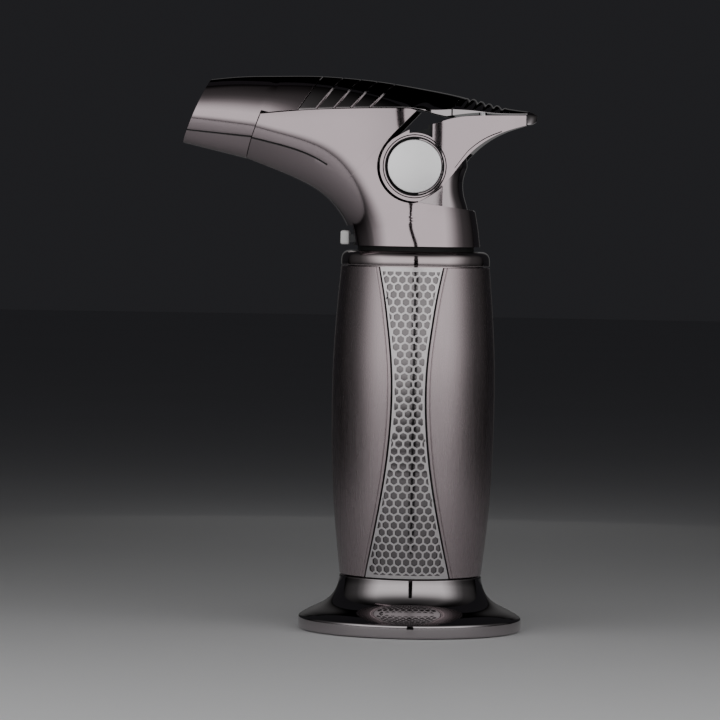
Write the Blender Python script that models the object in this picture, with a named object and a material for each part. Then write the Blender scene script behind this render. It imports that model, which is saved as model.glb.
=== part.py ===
"""Table-top butane torch: flared base, barrel handle, angled nozzle head and a thumb lever.

Frame: +Z up, the table is z = 0, the handle's axis is x = y = 0, the nozzle points to -X and the
thumb lever to +X. Sizes are in millimetres here and become metres in mesh_object().
"""

import math

import bmesh
import bpy
import numpy as np
from mathutils import Matrix, Vector

MM = 0.001
GAP = 0.3  # clearance between touching pieces

# ---------------------------------------------------------------- driving dimensions
BASE_R = 31.0
BASE_RIM_H = 3.9
FOOT_R = 27.0
FOOT_H = 1.2
HANDLE_Z0, HANDLE_Z1 = 15.4, 100.7
COLLAR_FLOOR = 102.4
SKIN = 1.4  # wall of the grip panels
CORE_WALL = 0.9
SHELL = 1.5  # wall of the die-cast head
TANK_WALL = 1.5
VALVE_X = 11.0  # refill valve, behind the centre screw
PIVOT = (0.0, 128.4)  # thumb lever's axis, x and z
CAP_R = 7.45
HUB_R = 9.6
POCKET_R = 10.2
FRAME_Y = 9.5  # outside of the mechanism frame
FRAME_WALL = 1.2
BURNER_AXIS = (-47.1, 141.4, 0.112)  # a point's x and z, and the rise towards the mouth
CRANK = (-6.0, 112.0)  # gas crank's pin, x and z
CRANK_ARM_Y = (4.2, 6.2)
ADJUSTER_Z = (106.8, 110.3)
PIEZO_X = 8.8  # igniter plunger's axis

# (z, outer radius) of the barrel-shaped handle
HANDLE_PROFILE = [
    (15.4, 19.65), (24.7, 20.7), (35.9, 21.75), (47.0, 22.3), (60.0, 22.55),
    (72.0, 22.5), (83.1, 22.0), (91.5, 21.4), (100.7, 20.6),
]
# (z, half angle in degrees) of the hourglass honeycomb panel's edges
PANEL_HALF_ANGLE = [
    (15.4, 37.0), (22.0, 31.0), (32.0, 23.5), (43.0, 17.6), (55.0, 13.8), (65.0, 12.6),
    (75.0, 13.6), (86.0, 17.4), (93.0, 20.8), (100.7, 26.0),
]
# Side view of the head, x and z.
THROAT = [
    (-47.4, 130.0), (-41.0, 127.6), (-32.6, 124.2), (-26.4, 120.7),
    (-21.6, 115.9), (-18.9, 111.0), (-17.8, 106.4),
]
# One value for each throat point: direction of the section, depth of its round, half width.
SECTION_ANGLE = [69.4, 68.5, 64.0, 53.0, 37.0, 20.0, 0.0]
SECTION_ROUND = [11.6, 12.6, 14.0, 15.0, 16.4, 17.4, 17.8]
SECTION_WIDTH = [11.3, 11.9, 12.7, 13.6, 15.4, 17.0, 17.8]
SECTION_FAR = [13.0, 20.0, 34.0, 42.0, 26.0, 18.4, 17.8]
CREASE_DEPTH = [6.0, 6.9, 7.7, 7.6, 7.4, 7.2, 7.0]
CREASE_SHARE = [1.0, 0.9, 0.45, 0.0, 0.0, 0.0, 0.0]
HOUSING_TOP = [
    (-60.0, 140.5), (-41.8, 142.3), (-32.2, 143.2), (-19.0, 143.9), (-5.0, 144.2), (2.0, 144.2),
]
RIDGE = [
    (-57.6, 151.8), (-52.5, 152.4), (-46.9, 152.8), (-38.6, 153.0), (-28.0, 153.1), (-18.6, 152.6),
    (-9.7, 151.7), (-2.4, 150.6), (5.9, 149.2), (13.5, 147.6), (19.1, 146.1), (24.7, 144.9), (31.6, 144.0),
]
NOZZLE_FLOOR = [(-65.2, 134.1), (-47.5, 130.0)]
NOZZLE_RIDGE_X = (-57.6, -39.2)
NOZZLE_HALF_WIDTH = (8.9, 11.3)
ARCH_HALF_ANGLE = 81.5  # of the nozzle's top, and at its seam with the ribbed cover
SEAM_HALF_ANGLE = 62.0
NECK_BACK_R = [(106.4, 17.8), (111.0, 17.3), (117.0, 16.9)]  # z, radius of the neck's round back
LEDGE = [(1.0, 118.5), (16.9, 116.4), (26.0, 115.2)]
LEVER_TOP = [
    (-6.4, 135.6), (-2.2, 138.1), (1.3, 139.4), (4.9, 140.1), (8.0, 141.1), (11.0, 141.9),
    (20.5, 142.7), (30.6, 143.0),
]
LEVER_FLOOR = [
    (1.7, 119.0), (4.4, 120.6), (7.2, 122.7), (9.4, 125.0), (13.1, 129.9), (17.9, 134.7),
    (23.2, 137.9), (30.6, 140.4),
]
LEVER_HALF_WIDTH = [
    (-10.0, 12.3), (2.0, 12.3), (7.0, 12.2), (13.0, 11.3), (20.0, 8.9), (26.0, 6.1), (30.6, 3.6), (33.0, 2.4),
]
FRAME_BACK = [
    (102.7, 14.6), (112.0, 14.4), (117.4, 14.0), (120.1, 13.2), (122.8, 12.8), (125.2, 12.9), (128.4, 13.9),
]
FRAME_GUARD_R = 13.9  # above the pivot the frame's back runs round it


# ---------------------------------------------------------------- curves
def spline(points):
    """Smooth y(x) through the points: a natural cubic spline."""
    x, y = (np.array(v, float) for v in zip(*points))
    h = np.diff(x)
    size = len(x)
    a = np.eye(size)
    b = np.zeros(size)
    for i in range(1, size - 1):
        a[i, i - 1 : i + 2] = h[i - 1], 2 * (h[i - 1] + h[i]), h[i]
        b[i] = 6 * ((y[i + 1] - y[i]) / h[i] - (y[i] - y[i - 1]) / h[i - 1])
    m = np.linalg.solve(a, b)

    def at(value):
        i = int(np.clip(np.searchsorted(x, value) - 1, 0, size - 2))
        left, right = x[i + 1] - value, value - x[i]
        cubic = (m[i] * left**3 + m[i + 1] * right**3) / (6 * h[i])
        line = (y[i] / h[i] - m[i] * h[i] / 6) * left + (y[i + 1] / h[i] - m[i + 1] * h[i] / 6) * right
        return float(cubic + line)

    return at


def knots(points):
    """Distance along the polyline at each of its points, as a share of its length."""
    steps = [math.dist(p, q) for p, q in zip(points, points[1:])]
    along = np.concatenate([[0.0], np.cumsum(steps)])
    return [float(v) for v in along / along[-1]]


def spread(first, last, count):
    return [first + (last - first) * i / (count - 1) for i in range(count)]


handle_radius = spline(HANDLE_PROFILE)
panel_half_angle = spline(PANEL_HALF_ANGLE)
ridge = spline(RIDGE)
housing_top = spline(HOUSING_TOP)
lever_half_width = spline(LEVER_HALF_WIDTH)
frame_back = spline(FRAME_BACK)


# ---------------------------------------------------------------- materials
def material(name, colour, metallic, roughness):
    made = bpy.data.materials.new(name)
    made.use_nodes = True
    shader = made.node_tree.nodes["Principled BSDF"]
    shader.inputs["Base Color"].default_value = (*colour, 1.0)
    shader.inputs["Metallic"].default_value = metallic
    shader.inputs["Roughness"].default_value = roughness
    return made


# ---------------------------------------------------------------- mesh building
def mesh_object(name, bm, look, origin=(0.0, 0.0, 0.0)):
    """Makes the object from a bmesh in millimetres, with its origin at a point that may be a joint's axis."""
    bmesh.ops.recalc_face_normals(bm, faces=bm.faces)
    if bm.calc_volume(signed=True) < 0:
        bmesh.ops.reverse_faces(bm, faces=bm.faces)
    mesh = bpy.data.meshes.new(name)
    bm.to_mesh(mesh)
    bm.free()
    anchor = Vector(origin)
    mesh.transform(Matrix.Scale(MM, 4) @ Matrix.Translation(-anchor))
    mesh.shade_smooth()
    mesh.set_sharp_from_angle(angle=math.radians(35))
    made = bpy.data.objects.new(name, mesh)
    made.location = anchor * MM
    bpy.context.scene.collection.objects.link(made)
    mesh.materials.append(look)
    return made


def boolean(target, tool, operation="DIFFERENCE"):
    """Applies another object to this one; the tool itself is only a guide."""
    modifier = target.modifiers.new(operation.title(), "BOOLEAN")
    modifier.operation = operation
    modifier.solver = "EXACT"
    modifier.object = tool
    tool.hide_render = True
    tool.display_type = "WIRE"
    return target


def lathe(profile, steps=40, frame=None):
    """A bmesh turned from a closed profile of (radius, height); frame places its own Z axis."""
    bm = bmesh.new()
    loop = [bm.verts.new((r, 0.0, z)) for r, z in profile]
    edges = [bm.edges.new((a, b)) for a, b in zip(loop, loop[1:] + loop[:1])]
    bmesh.ops.spin(
        bm, geom=loop + edges, cent=(0, 0, 0), axis=(0, 0, 1), dvec=(0, 0, 0), angle=2 * math.pi, steps=steps,
        use_merge=True,
    )
    bmesh.ops.remove_doubles(bm, verts=bm.verts, dist=1e-4)
    axis_edges = [e for e in bm.edges if not e.link_faces]
    bmesh.ops.delete(bm, geom=axis_edges, context="EDGES")
    if frame is not None:
        bm.transform(frame)
    return bm


def axis_frame(point, direction):
    """A frame whose Z runs along the direction."""
    turn = Vector(direction).to_track_quat("Z", "Y").to_matrix().to_4x4()
    return Matrix.Translation(Vector(point)) @ turn


def rod(radius, length, frame, bore=0.0, steps=20):
    """A bmesh rod or tube that starts at the frame's origin."""
    return lathe([(bore, 0.0), (radius, 0.0), (radius, length), (bore, length)], steps, frame)


def block(low, high):
    bm = bmesh.new()
    bmesh.ops.create_cube(bm, size=1.0)
    size = Vector(high) - Vector(low)
    bm.transform(Matrix.Translation((Vector(low) + Vector(high)) / 2) @ Matrix.Diagonal((*size, 1.0)))
    return bm


def prism(outline, y0, y1):
    """A bmesh of a side-view outline of (x, z) run from y0 to y1."""
    bm = bmesh.new()
    face = bm.faces.new([bm.verts.new((x, y0, z)) for x, z in outline])
    grown = bmesh.ops.extrude_face_region(bm, geom=[face])
    moved = [v for v in grown["geom"] if isinstance(v, bmesh.types.BMVert)]
    bmesh.ops.translate(bm, vec=(0, y1 - y0, 0), verts=moved)
    return bm


def join(*parts):
    """One bmesh of several that don't touch, or that a Boolean union joins later."""
    whole = bmesh.new()
    for part in parts:
        mesh = bpy.data.meshes.new("joined")
        part.to_mesh(mesh)
        part.free()
        whole.from_mesh(mesh)
        bpy.data.meshes.remove(mesh)
    return whole


def grid_shell(outer, inner, keep=None, around=False):
    """A closed shell between two grids of points; keep(i, j) says which cells are there."""
    bm = bmesh.new()
    rows, columns = len(outer), len(outer[0])
    made = {}

    def vert(side, i, j):
        j = j % columns if around else j
        key = (side, i, j)
        if key not in made:
            made[key] = bm.verts.new((outer, inner)[side][i][j])
        return made[key]

    wide = columns if around else columns - 1
    cells = {(i, j) for i in range(rows - 1) for j in range(wide) if keep is None or keep(i, j)}
    for i, j in cells:
        corners = [(i, j), (i + 1, j), (i + 1, j + 1), (i, j + 1)]
        bm.faces.new([vert(0, *c) for c in corners])
        bm.faces.new([vert(1, *c) for c in reversed(corners)])
        neighbours = [(i, j - 1), (i + 1, j), (i, j + 1), (i - 1, j)]
        for (di, dj), a, b in zip(neighbours, corners, corners[1:] + corners[:1]):
            dj = dj % columns if around else dj
            if (di, dj) not in cells:
                bm.faces.new([vert(0, *b), vert(0, *a), vert(1, *a), vert(1, *b)])
    return bm


def tube_along(name, points, radius, look, sides=8):
    """A round cord or wire as a bevelled curve, through points in millimetres."""
    curve = bpy.data.curves.new(name, "CURVE")
    curve.dimensions = "3D"
    curve.bevel_depth = radius * MM
    curve.bevel_resolution = sides // 2 - 2
    curve.use_fill_caps = True
    line = curve.splines.new("POLY")
    line.points.add(len(points) - 1)
    for place, point in zip(line.points, points):
        place.co = (*(Vector(point) * MM), 1.0)
    curve.materials.append(look)
    made = bpy.data.objects.new(name, curve)
    bpy.context.scene.collection.objects.link(made)
    return made


def through(points, count):
    """Evenly spaced points on a smooth curve through the given ones."""
    at = knots(points)
    axes = [spline(list(zip(at, values))) for values in zip(*points)]
    return [tuple(axis(t) for axis in axes) for t in spread(0.0, 1.0, count)]


def helix(radius, z0, z1, turns, centre, per_turn=6):
    count = int(turns * per_turn)
    return [
        (
            centre[0] + radius * math.cos(2 * math.pi * i / per_turn),
            centre[1] + radius * math.sin(2 * math.pi * i / per_turn),
            z0 + (z1 - z0) * i / count,
        )
        for i in range(count + 1)
    ]


# ---------------------------------------------------------------- base and handle
def build_base(looks):
    flare = [
        (FOOT_R + GAP, 0.0), (BASE_R - 0.7, 0.0), (BASE_R, 0.7), (BASE_R, BASE_RIM_H - 0.6),
        (BASE_R - 0.8, BASE_RIM_H), (28.2, 5.2), (25.3, 6.6), (22.9, 8.0), (21.2, 9.7), (20.2, 11.6),
        (19.6, 13.6), (19.45, HANDLE_Z0 - GAP),
    ]
    underside = [(0.0, HANDLE_Z0 - GAP), (0.0, FOOT_H + GAP), (FOOT_R + GAP, FOOT_H + GAP)]
    base = mesh_object("base_disc", lathe(flare + underside, 32), looks["polished"])
    valve_hole = rod(5.0, 22.0, Matrix.Translation((VALVE_X, 0, -2.0)), steps=24)
    screw_hole = rod(1.8, 20.0, Matrix.Translation((0, 0, -2.0)), steps=16)
    head_hole = rod(3.5, 5.0, Matrix.Translation((0, 0, -1.0)), steps=20)
    for name, bm in (("valve_hole", valve_hole), ("screw_hole", screw_hole), ("head_hole", head_hole)):
        boolean(base, mesh_object(f"cut_{name}", bm, looks["polished"]))

    pad = mesh_object("foot_pad", rod(FOOT_R, FOOT_H, Matrix.Identity(4), steps=36), looks["rubber"])
    pad_hole = rod(5.0, 6.0, Matrix.Translation((VALVE_X, 0, -2.0)), steps=24)
    boolean(pad, mesh_object("cut_pad_hole", pad_hole, looks["rubber"]))

    screw = [(0.0, 1.8), (3.1, 1.8), (3.1, 3.6), (1.4, 3.6), (1.4, 19.0), (0.0, 20.0)]
    mesh_object("base_screw", lathe(screw, 16), looks["steel"])


def panel_grid(z_values, angles_at, depth):
    """Points on the barrel, this deep under its surface; angle 0 faces -Y and grows towards +X."""
    rows = []
    for z in z_values:
        radius = handle_radius(z) - depth
        rows.append([(radius * math.sin(a), -radius * math.cos(a), z) for a in angles_at(z)])
    return rows


def build_handle(looks):
    heights = spread(HANDLE_Z0, HANDLE_Z1, 10)
    side = spread(-0.5, 0.5, 8)
    narrow = spread(-1.0, 1.0, 5)
    seam = math.radians(0.9)

    def honeycomb(turn):
        return lambda z: [turn + t * (math.radians(panel_half_angle(z)) - seam) for t in narrow]

    def grip(turn):
        return lambda z: [turn + t * 2 * (math.pi / 2 - math.radians(panel_half_angle(z))) for t in side]

    panels = [
        ("honeycomb_front", honeycomb(0.0), "lattice"),
        ("honeycomb_back", honeycomb(math.pi), "lattice"),
        ("grip_aft", grip(math.pi / 2), "satin"),
        ("grip_fore", grip(-math.pi / 2), "satin"),
    ]
    for name, angles, look in panels:
        shell = grid_shell(panel_grid(heights, angles, 0.0), panel_grid(heights, angles, SKIN))
        mesh_object(name, shell, looks[look])

    core_out = [(handle_radius(z) - SKIN - 2 * GAP, z) for z in spread(HANDLE_Z0, HANDLE_Z1, 7)]
    core_in = [(r - CORE_WALL, z) for r, z in reversed(core_out)]
    mesh_object("handle_core", lathe(core_out + core_in, 24), looks["steel"])

    shoulder = [
        (4.4, HANDLE_Z1 + GAP), (20.6, HANDLE_Z1 + GAP), (20.6, 102.8), (20.1, 104.1), (19.2, 104.85),
        (18.1, 105.05), (15.0, 105.05), (15.0, COLLAR_FLOOR), (4.4, COLLAR_FLOOR),
    ]
    mesh_object("collar_ring", lathe(shoulder, 40), looks["gunmetal"])
    seat = [(15.6, 98.9), (17.6, 98.9), (17.6, HANDLE_Z1), (15.6, HANDLE_Z1)]
    mesh_object("collar_seal", lathe(seat, 24), looks["rubber"])


def build_tank(looks):
    z0, z1 = 20.6, 97.0
    heights = spread(z0, z1, 5)
    outside = [(handle_radius(z) - SKIN - CORE_WALL - 5 * GAP, z) for z in heights]
    inside = [(r - TANK_WALL, z) for r, z in outside]
    inside[0] = (inside[0][0], z0 + 2.4)
    inside[-1] = (inside[-1][0], z1 - 2.0)
    profile = [(0.0, z0), *outside, (4.3, z1), (4.3, z1 - 2.0), *reversed(inside), (0.0, z0 + 2.4)]
    tank = mesh_object("fuel_tank", lathe(profile, 20), looks["tank"])
    hole = rod(3.3, 6.0, Matrix.Translation((VALVE_X, 0, z0 - 1.0)), steps=20)
    boolean(tank, mesh_object("cut_refill_port", hole, looks["tank"]))

    refill = [
        (1.6, 6.0), (4.2, 6.0), (4.2, 8.2), (3.0, 8.2), (3.0, 30.0), (0.0, 30.0), (0.0, 28.6), (2.1, 28.6),
        (2.1, 9.6), (1.6, 9.6),
    ]
    at_valve = Matrix.Translation((VALVE_X, 0, 0))
    mesh_object("refill_valve_body", lathe(refill, 20, at_valve), looks["brass"])
    stem = [(0.0, 4.6), (1.2, 4.6), (1.2, 10.0), (1.75, 10.0), (1.75, 12.0), (0.0, 12.0)]
    mesh_object("refill_valve_stem", lathe(stem, 14, at_valve), looks["brass"], (VALVE_X, 0, 4.6))
    tube_along("refill_spring", helix(1.35, 12.7, 27.9, 6, (VALVE_X, 0)), 0.25, looks["steel"], 6)


# ---------------------------------------------------------------- gas valve and flame adjuster
def build_outlet_valve(looks):
    body = [
        (0.0, 86.0), (4.0, 86.0), (4.0, 97.4), (5.6, 97.4), (5.6, 99.8), (4.0, 99.8), (4.0, 110.4),
        (1.5, 110.4), (1.5, 98.4), (0.0, 98.4),
    ]
    mesh_object("outlet_valve_body", lathe(body, 24), looks["brass"])
    stem = [
        (0.0, 99.0), (1.2, 99.0), (1.2, 112.6), (2.4, 112.6), (2.4, 113.4), (0.9, 113.4), (0.9, 116.6),
        (0.0, 116.6),
    ]
    mesh_object("outlet_valve_stem", lathe(stem, 16), looks["brass"], (0, 0, 99.0))

    low, high = ADJUSTER_Z
    ring = lathe([(4.3, low), (6.3, low), (6.3, high - 0.5), (4.3, high - 0.5)], 24)
    adjuster = mesh_object("flame_adjuster", ring, looks["black"], (0, 0, low))
    arm = block((-18.4, -1.6, low + 0.4), (-5.2, 1.6, high - 0.9))
    boolean(adjuster, mesh_object("add_arm", arm, looks["black"]), "UNION")
    knob = bmesh_rounded_box((-20.9, -2.0, low), (-18.7, 2.0, high), 0.5)
    mesh_object("adjuster_knob", knob, looks["white"], (0, 0, low))


def bmesh_rounded_box(low, high, radius):
    bm = block(low, high)
    bmesh.ops.bevel(bm, geom=list(bm.edges), offset=radius, segments=1, affect="EDGES")
    return bm


# ---------------------------------------------------------------- head shells
def throat_section(t):
    """The section that starts at share t of the throat: its foot, its direction and its sizes."""
    value = {name: fit(t) for name, fit in THROAT_FITS.items()}
    value["blend"] = min(1.5, 9.0 * (1.0 - t))
    angle = math.radians(value["angle"])
    foot = Vector((value["x"], 0.0, value["z"]))
    return foot, Vector((math.cos(angle), 0.0, math.sin(angle))), value


def neck_radius(z):
    return float(np.interp(z, *zip(*NECK_BACK_R)))


def round_back(half, point, blend, inset):
    """The half width kept inside the neck's round back, with a soft blend where the two meet."""
    if point.x <= 0:
        return half
    limit = math.sqrt(max(0.0, (neck_radius(point.z) - inset) ** 2 - point.x**2))
    blend = max(0.01, min(blend, 0.25 * point.x))
    near = max(0.0, blend - abs(half - limit)) / blend
    return min(half, limit) - near**2 * blend / 4


def section_width(value, s, inset):
    """Half width of the head at depth s from the throat, for the skin this far inside the outer one."""
    depth, wide, far = value["round"] - inset, value["wide"] - inset, value["far"] - inset
    d = s - inset
    if d < depth:
        half = wide * math.sqrt(max(0.0, 1 - (1 - d / depth) ** 2))
    else:
        half = wide * math.sqrt(max(0.0, 1 - ((d - depth) / far) ** 2))
    crease = value["crease"]
    share = min(1.0, max(0.0, value["share"]))
    if s < crease and share > 0:
        edge = wide * math.sqrt(1 - (1 - (crease - inset) / depth) ** 2)
        flat = edge * (max(0.0, d) / (crease - inset)) ** 0.62
        half += share * (flat - half)
    return half


def reach(foot, along, value):
    """How far a section runs, and whether it closes at the neck's back or is cut at the top line."""
    far = value["round"] + value["far"]
    for s in spread(0.0, far, 400):
        point = foot + along * s
        if point.z > housing_top(min(point.x, 2.0)):
            return s, False
        if point.x >= neck_radius(point.z):
            return s, True
    return far, True


def head_grid(inset, places, counts):
    rows = []
    for t in places:
        foot, along, value = throat_section(t)
        end, closed = reach(foot, along, value)
        first, last = inset, end - (inset if closed else 0.0)
        crease = value["crease"]
        turns = [math.pi / 2 * k / counts[0] for k in range(counts[0])]
        below = [first + (crease - first) * (1 - math.cos(a)) for a in turns]
        shares = spread(0.0, 1.0, counts[1] + 1)
        if closed:
            shares = [math.sin(math.pi / 2 * share) for share in shares]
        above = [crease + (last - crease) * share for share in shares]
        row = []
        for s in below + above:
            point = foot + along * s
            half = round_back(section_width(value, s, inset), point, value["blend"], inset)
            row.append((point.x, -max(GAP / 2, half), point.z))
        rows.append(row)
    return rows


def arc(centre, radius, first, last, count):
    """Points of (x, z) on an arc; angles in degrees."""
    return [
        (centre[0] + radius * math.cos(math.radians(a)), centre[1] + radius * math.sin(math.radians(a)))
        for a in spread(first, last, count)
    ]


def pocket_outline():
    """Side view of the room for the lever and the frame's back: hub arc, ledge and all behind them."""
    rise = [
        (-1.4, 150.0), (-1.4, 144.2), (2.0, 143.2), (1.1, 142.2), (-0.9, 141.0), (-2.7, 139.8),
        (-4.9, 138.4), (-6.9, 136.2),
    ]
    return rise + arc(PIVOT, POCKET_R, 143.0, 272.0, 12) + LEDGE + [(26.0, 150.0)]


BOSSES = [("barrel", -31.0, 129.8), ("neck", -13.4, 116.6)]


def build_housings(looks):
    shares = spread(0.0, 1.0, 13)
    outer, inner = (head_grid(inset, shares, (3, 6)) for inset in (0.0, SHELL))
    pocket = mesh_object("cut_pocket", prism(pocket_outline(), -30.0, 30.0), looks["gunmetal"])
    slot = mesh_object("cut_adjuster_slot", adjuster_slot(), looks["gunmetal"])
    for name, flip in (("housing_front", 1.0), ("housing_back", -1.0)):
        shell = grid_shell(outer, inner)
        shell.transform(Matrix.Diagonal((1.0, flip, 1.0, 1.0)))
        housing = mesh_object(name, shell, looks["gunmetal"])
        boolean(housing, pocket)
        for place, x, z in BOSSES:
            depth = boss_depth(x, z)
            towards = axis_frame((x, -flip * GAP / 2, z), (0, -flip, 0))
            boss = rod(2.4, depth, towards, steps=14)
            boolean(housing, mesh_object(f"add_boss_{place}_{name}", boss, looks["gunmetal"]), "UNION")
        boolean(housing, slot)
    for place, x, z in BOSSES:
        back = boss_depth(x, z)
        seat = back + 6.0
        steps = [(0.0, 0.0), (1.4, 0.0), (1.4, seat), (2.0, seat), (2.0, seat + 6.0), (0.0, seat + 6.0)]
        bored = lathe(steps, 12, axis_frame((x, -7.0, z), (0, 1, 0)))
        hole = mesh_object(f"cut_{place}_hole", bored, looks["steel"])
        boolean(bpy.data.objects["housing_front"], hole)
        boolean(bpy.data.objects["housing_back"], hole)
        profile = [(0.0, 0.0), (1.1, 0.0), (1.1, seat), (1.7, seat), (1.7, seat + 1.2), (0.0, seat + 1.2)]
        screw = lathe(profile, 14, axis_frame((x, -6.6, z), (0, 1, 0)))
        mesh_object(f"{place}_screw", screw, looks["steel"])


def boss_depth(x, z):
    """From the mid plane to just inside the head's outer skin at this place in the side view."""
    best = min(spread(0.0, 1.0, 200), key=lambda t: miss(t, x, z))
    foot, along, value = throat_section(best)
    s = (Vector((x, 0.0, z)) - foot).dot(along)
    return section_width(value, s, 0.0) - 0.75 * SHELL


def miss(t, x, z):
    foot, along, _ = throat_section(t)
    offset = Vector((x, 0.0, z)) - foot
    return (offset - along * offset.dot(along)).length


def adjuster_slot():
    """The window in the front of the neck that the flame adjuster's arm swings in."""
    half = 25.0
    angles = spread(180 - half, 180 + half, 7)
    bm = bmesh.new()
    rim = [(r, math.radians(a)) for r in (13.0, 24.0) for a in angles]
    low, high = 106.0, 111.9
    bottom = [bm.verts.new((r * math.cos(a), r * math.sin(a), low)) for r, a in rim]
    top = [bm.verts.new((r * math.cos(a), r * math.sin(a), high)) for r, a in rim]
    n = len(angles)
    for k in range(n - 1):
        bm.faces.new([bottom[k], bottom[k + 1], bottom[n + k + 1], bottom[n + k]])
        bm.faces.new([top[k], top[k + 1], top[n + k + 1], top[n + k]])
        for start in (0, n):
            bm.faces.new([bottom[start + k], bottom[start + k + 1], top[start + k + 1], top[start + k]])
    for k in (0, n - 1):
        bm.faces.new([bottom[k], bottom[n + k], top[n + k], top[k]])
    return bm


THROAT_FITS = {}


def fit_throat():
    at = knots(THROAT)
    columns = {
        "x": [p[0] for p in THROAT],
        "z": [p[1] for p in THROAT],
        "angle": SECTION_ANGLE,
        "round": SECTION_ROUND,
        "wide": SECTION_WIDTH,
        "far": SECTION_FAR,
        "crease": CREASE_DEPTH,
        "share": CREASE_SHARE,
    }
    for name, values in columns.items():
        THROAT_FITS[name] = spline(list(zip(at, values)))


def arch(low, top, half, angles, limit, inset):
    """Points over the head from one low edge to the other; the curve is part of an ellipse."""
    low, top = Vector(low), Vector(top)
    crown = top - (top - low).normalized() * inset
    base = 1 - math.cos(limit)
    points = []
    for a in angles:
        point = low + (crown - low) * ((math.cos(a) - math.cos(limit)) / base)
        point.y = -(half - inset) * math.sin(a) / math.sin(limit)
        points.append(tuple(point))
    return points


def nozzle_row(u, inset, arch_angles, belly_angles):
    """A full ring at share u from the mouth to the seam: over the top, then round the belly."""
    floor_x = NOZZLE_FLOOR[0][0] + (NOZZLE_FLOOR[1][0] - NOZZLE_FLOOR[0][0]) * u
    floor_z = NOZZLE_FLOOR[0][1] + (NOZZLE_FLOOR[1][1] - NOZZLE_FLOOR[0][1]) * u
    top_x = NOZZLE_RIDGE_X[0] + (NOZZLE_RIDGE_X[1] - NOZZLE_RIDGE_X[0]) * u
    floor, top = Vector((floor_x, 0, floor_z)), Vector((top_x, 0, ridge(top_x)))
    centre, up = (floor + top) / 2, (top - floor) / 2
    half = NOZZLE_HALF_WIDTH[0] + (NOZZLE_HALF_WIDTH[1] - NOZZLE_HALF_WIDTH[0]) * u
    crease = math.radians(127 - 8 * u)
    shrink = 1 - inset / up.length
    points = []
    for a in arch_angles + belly_angles:
        side = math.sin(a)
        over = abs(a) if abs(a) <= math.pi else 2 * math.pi - abs(a)
        if over > crease:
            share = (math.pi - over) / (math.pi - crease)
            side = math.copysign(math.sin(crease) * share**0.75, side)
        point = centre + up * (math.cos(a) * shrink)
        point.y = -(half - inset) * side
        points.append(tuple(point))
    return points


def build_nozzle(looks):
    limit = math.radians(ARCH_HALF_ANGLE)
    arch_angles = spread(-limit, limit, 15)
    belly = [math.radians(a) for a in (98, 112, 124, 140, 160, 180, 200, 220, 236, 248, 262)]
    rows_u = spread(0.0, 1.0, 4)
    outer = [nozzle_row(u, 0.0, arch_angles, belly) for u in rows_u]
    inner = [nozzle_row(u, SHELL, arch_angles, belly) for u in rows_u]
    steps = 3
    for k in range(1, steps + 1):
        share = k / steps
        low = Vector((-41.2 + (-32.6 + 41.2) * share, 0.0, 0.0))
        low.z = housing_top(low.x) + GAP
        top_x = NOZZLE_RIDGE_X[1] + (-26.6 - NOZZLE_RIDGE_X[1]) * share
        top = Vector((top_x, 0.0, ridge(top_x)))
        half = NOZZLE_HALF_WIDTH[1] * math.sin(limit) + 0.3 * share
        edge = limit + (math.radians(SEAM_HALF_ANGLE) - limit) * share
        angles = spread(-edge, edge, len(arch_angles))
        padding = [(0.0, 0.0, 0.0)] * len(belly)
        outer.append(arch(low, top, half, angles, edge, 0.0) + padding)
        inner.append(arch(low, top, half, angles, edge, SHELL) + padding)
    ring_rows = len(rows_u) - 1

    def keep(i, j):
        return i < ring_rows or j < len(arch_angles) - 1

    mesh_object("nozzle_shroud", grid_shell(outer, inner, keep, around=True), looks["gunmetal"])


GROOVES = [-27.4, -22.4, -17.6, -12.4]  # x of each slanted groove at the cover's low edge


def spine_sections():
    """(low x, ridge x, groove depth) of the ribbed cover's sections, from the nozzle to the thumb rest."""
    sections = [(-32.3, -26.3, 0.0)]
    for x in GROOVES:
        lean = 6.6 - 0.5 * (x - GROOVES[0]) / 15.0
        sections += [(x - 0.75, x - 0.75 + lean, 0.0), (x, x + lean, 0.8), (x + 0.75, x + 0.75 + lean, 0.0)]
    sections += [(-7.0, -1.0, 0.0), (-1.0, 4.2, 0.0), (2.0, 6.7, 0.0), (4.5, 8.6, 0.0), (9.8, 12.2, 0.0)]
    return sections


SPINE_LOW = [
    (-32.3, 143.5), (-19.0, 144.25), (-5.0, 144.6), (-1.0, 144.55), (2.0, 143.7), (4.8, 141.7), (9.8, 142.7),
]
SPINE_HALF = [(-32.3, 11.5), (-19.0, 12.0), (-5.0, 12.3), (4.8, 12.4), (9.8, 11.6)]
SPINE_LIMIT = [(-32.3, 60.0), (-28.0, 50.0), (-19.0, 45.0), (-5.0, 42.0), (9.8, 40.0)]


def build_spine(looks):
    low_z, half, limit = spline(SPINE_LOW), spline(SPINE_HALF), spline(SPINE_LIMIT)
    outer, inner = [], []
    for low_x, top_x, depth in spine_sections():
        low = (low_x, 0.0, low_z(low_x))
        top = (top_x, 0.0, ridge(top_x))
        edge = math.radians(limit(low_x))
        angles = spread(-edge, edge, 11)
        outer.append(arch(low, top, half(low_x), angles, edge, depth))
        inner.append(arch(low, top, half(low_x), angles, edge, SHELL))
    mesh_object("spine_cover", grid_shell(outer, inner), looks["gunmetal"])


# ---------------------------------------------------------------- thumb lever
def lever_edges(x):
    """Lowest and highest z of the lever's cheek at x."""
    cx, cz = PIVOT
    rim = math.sqrt(max(0.0, HUB_R**2 - (x - cx) ** 2)) if x < HUB_R else 0.0
    low = cz - rim if x < LEVER_FLOOR[0][0] else lever_floor(x)
    high = cz + rim if x < LEVER_TOP[0][0] else lever_top(x)
    return low, high


lever_top = spline(LEVER_TOP)
lever_floor = spline(LEVER_FLOOR)


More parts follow.
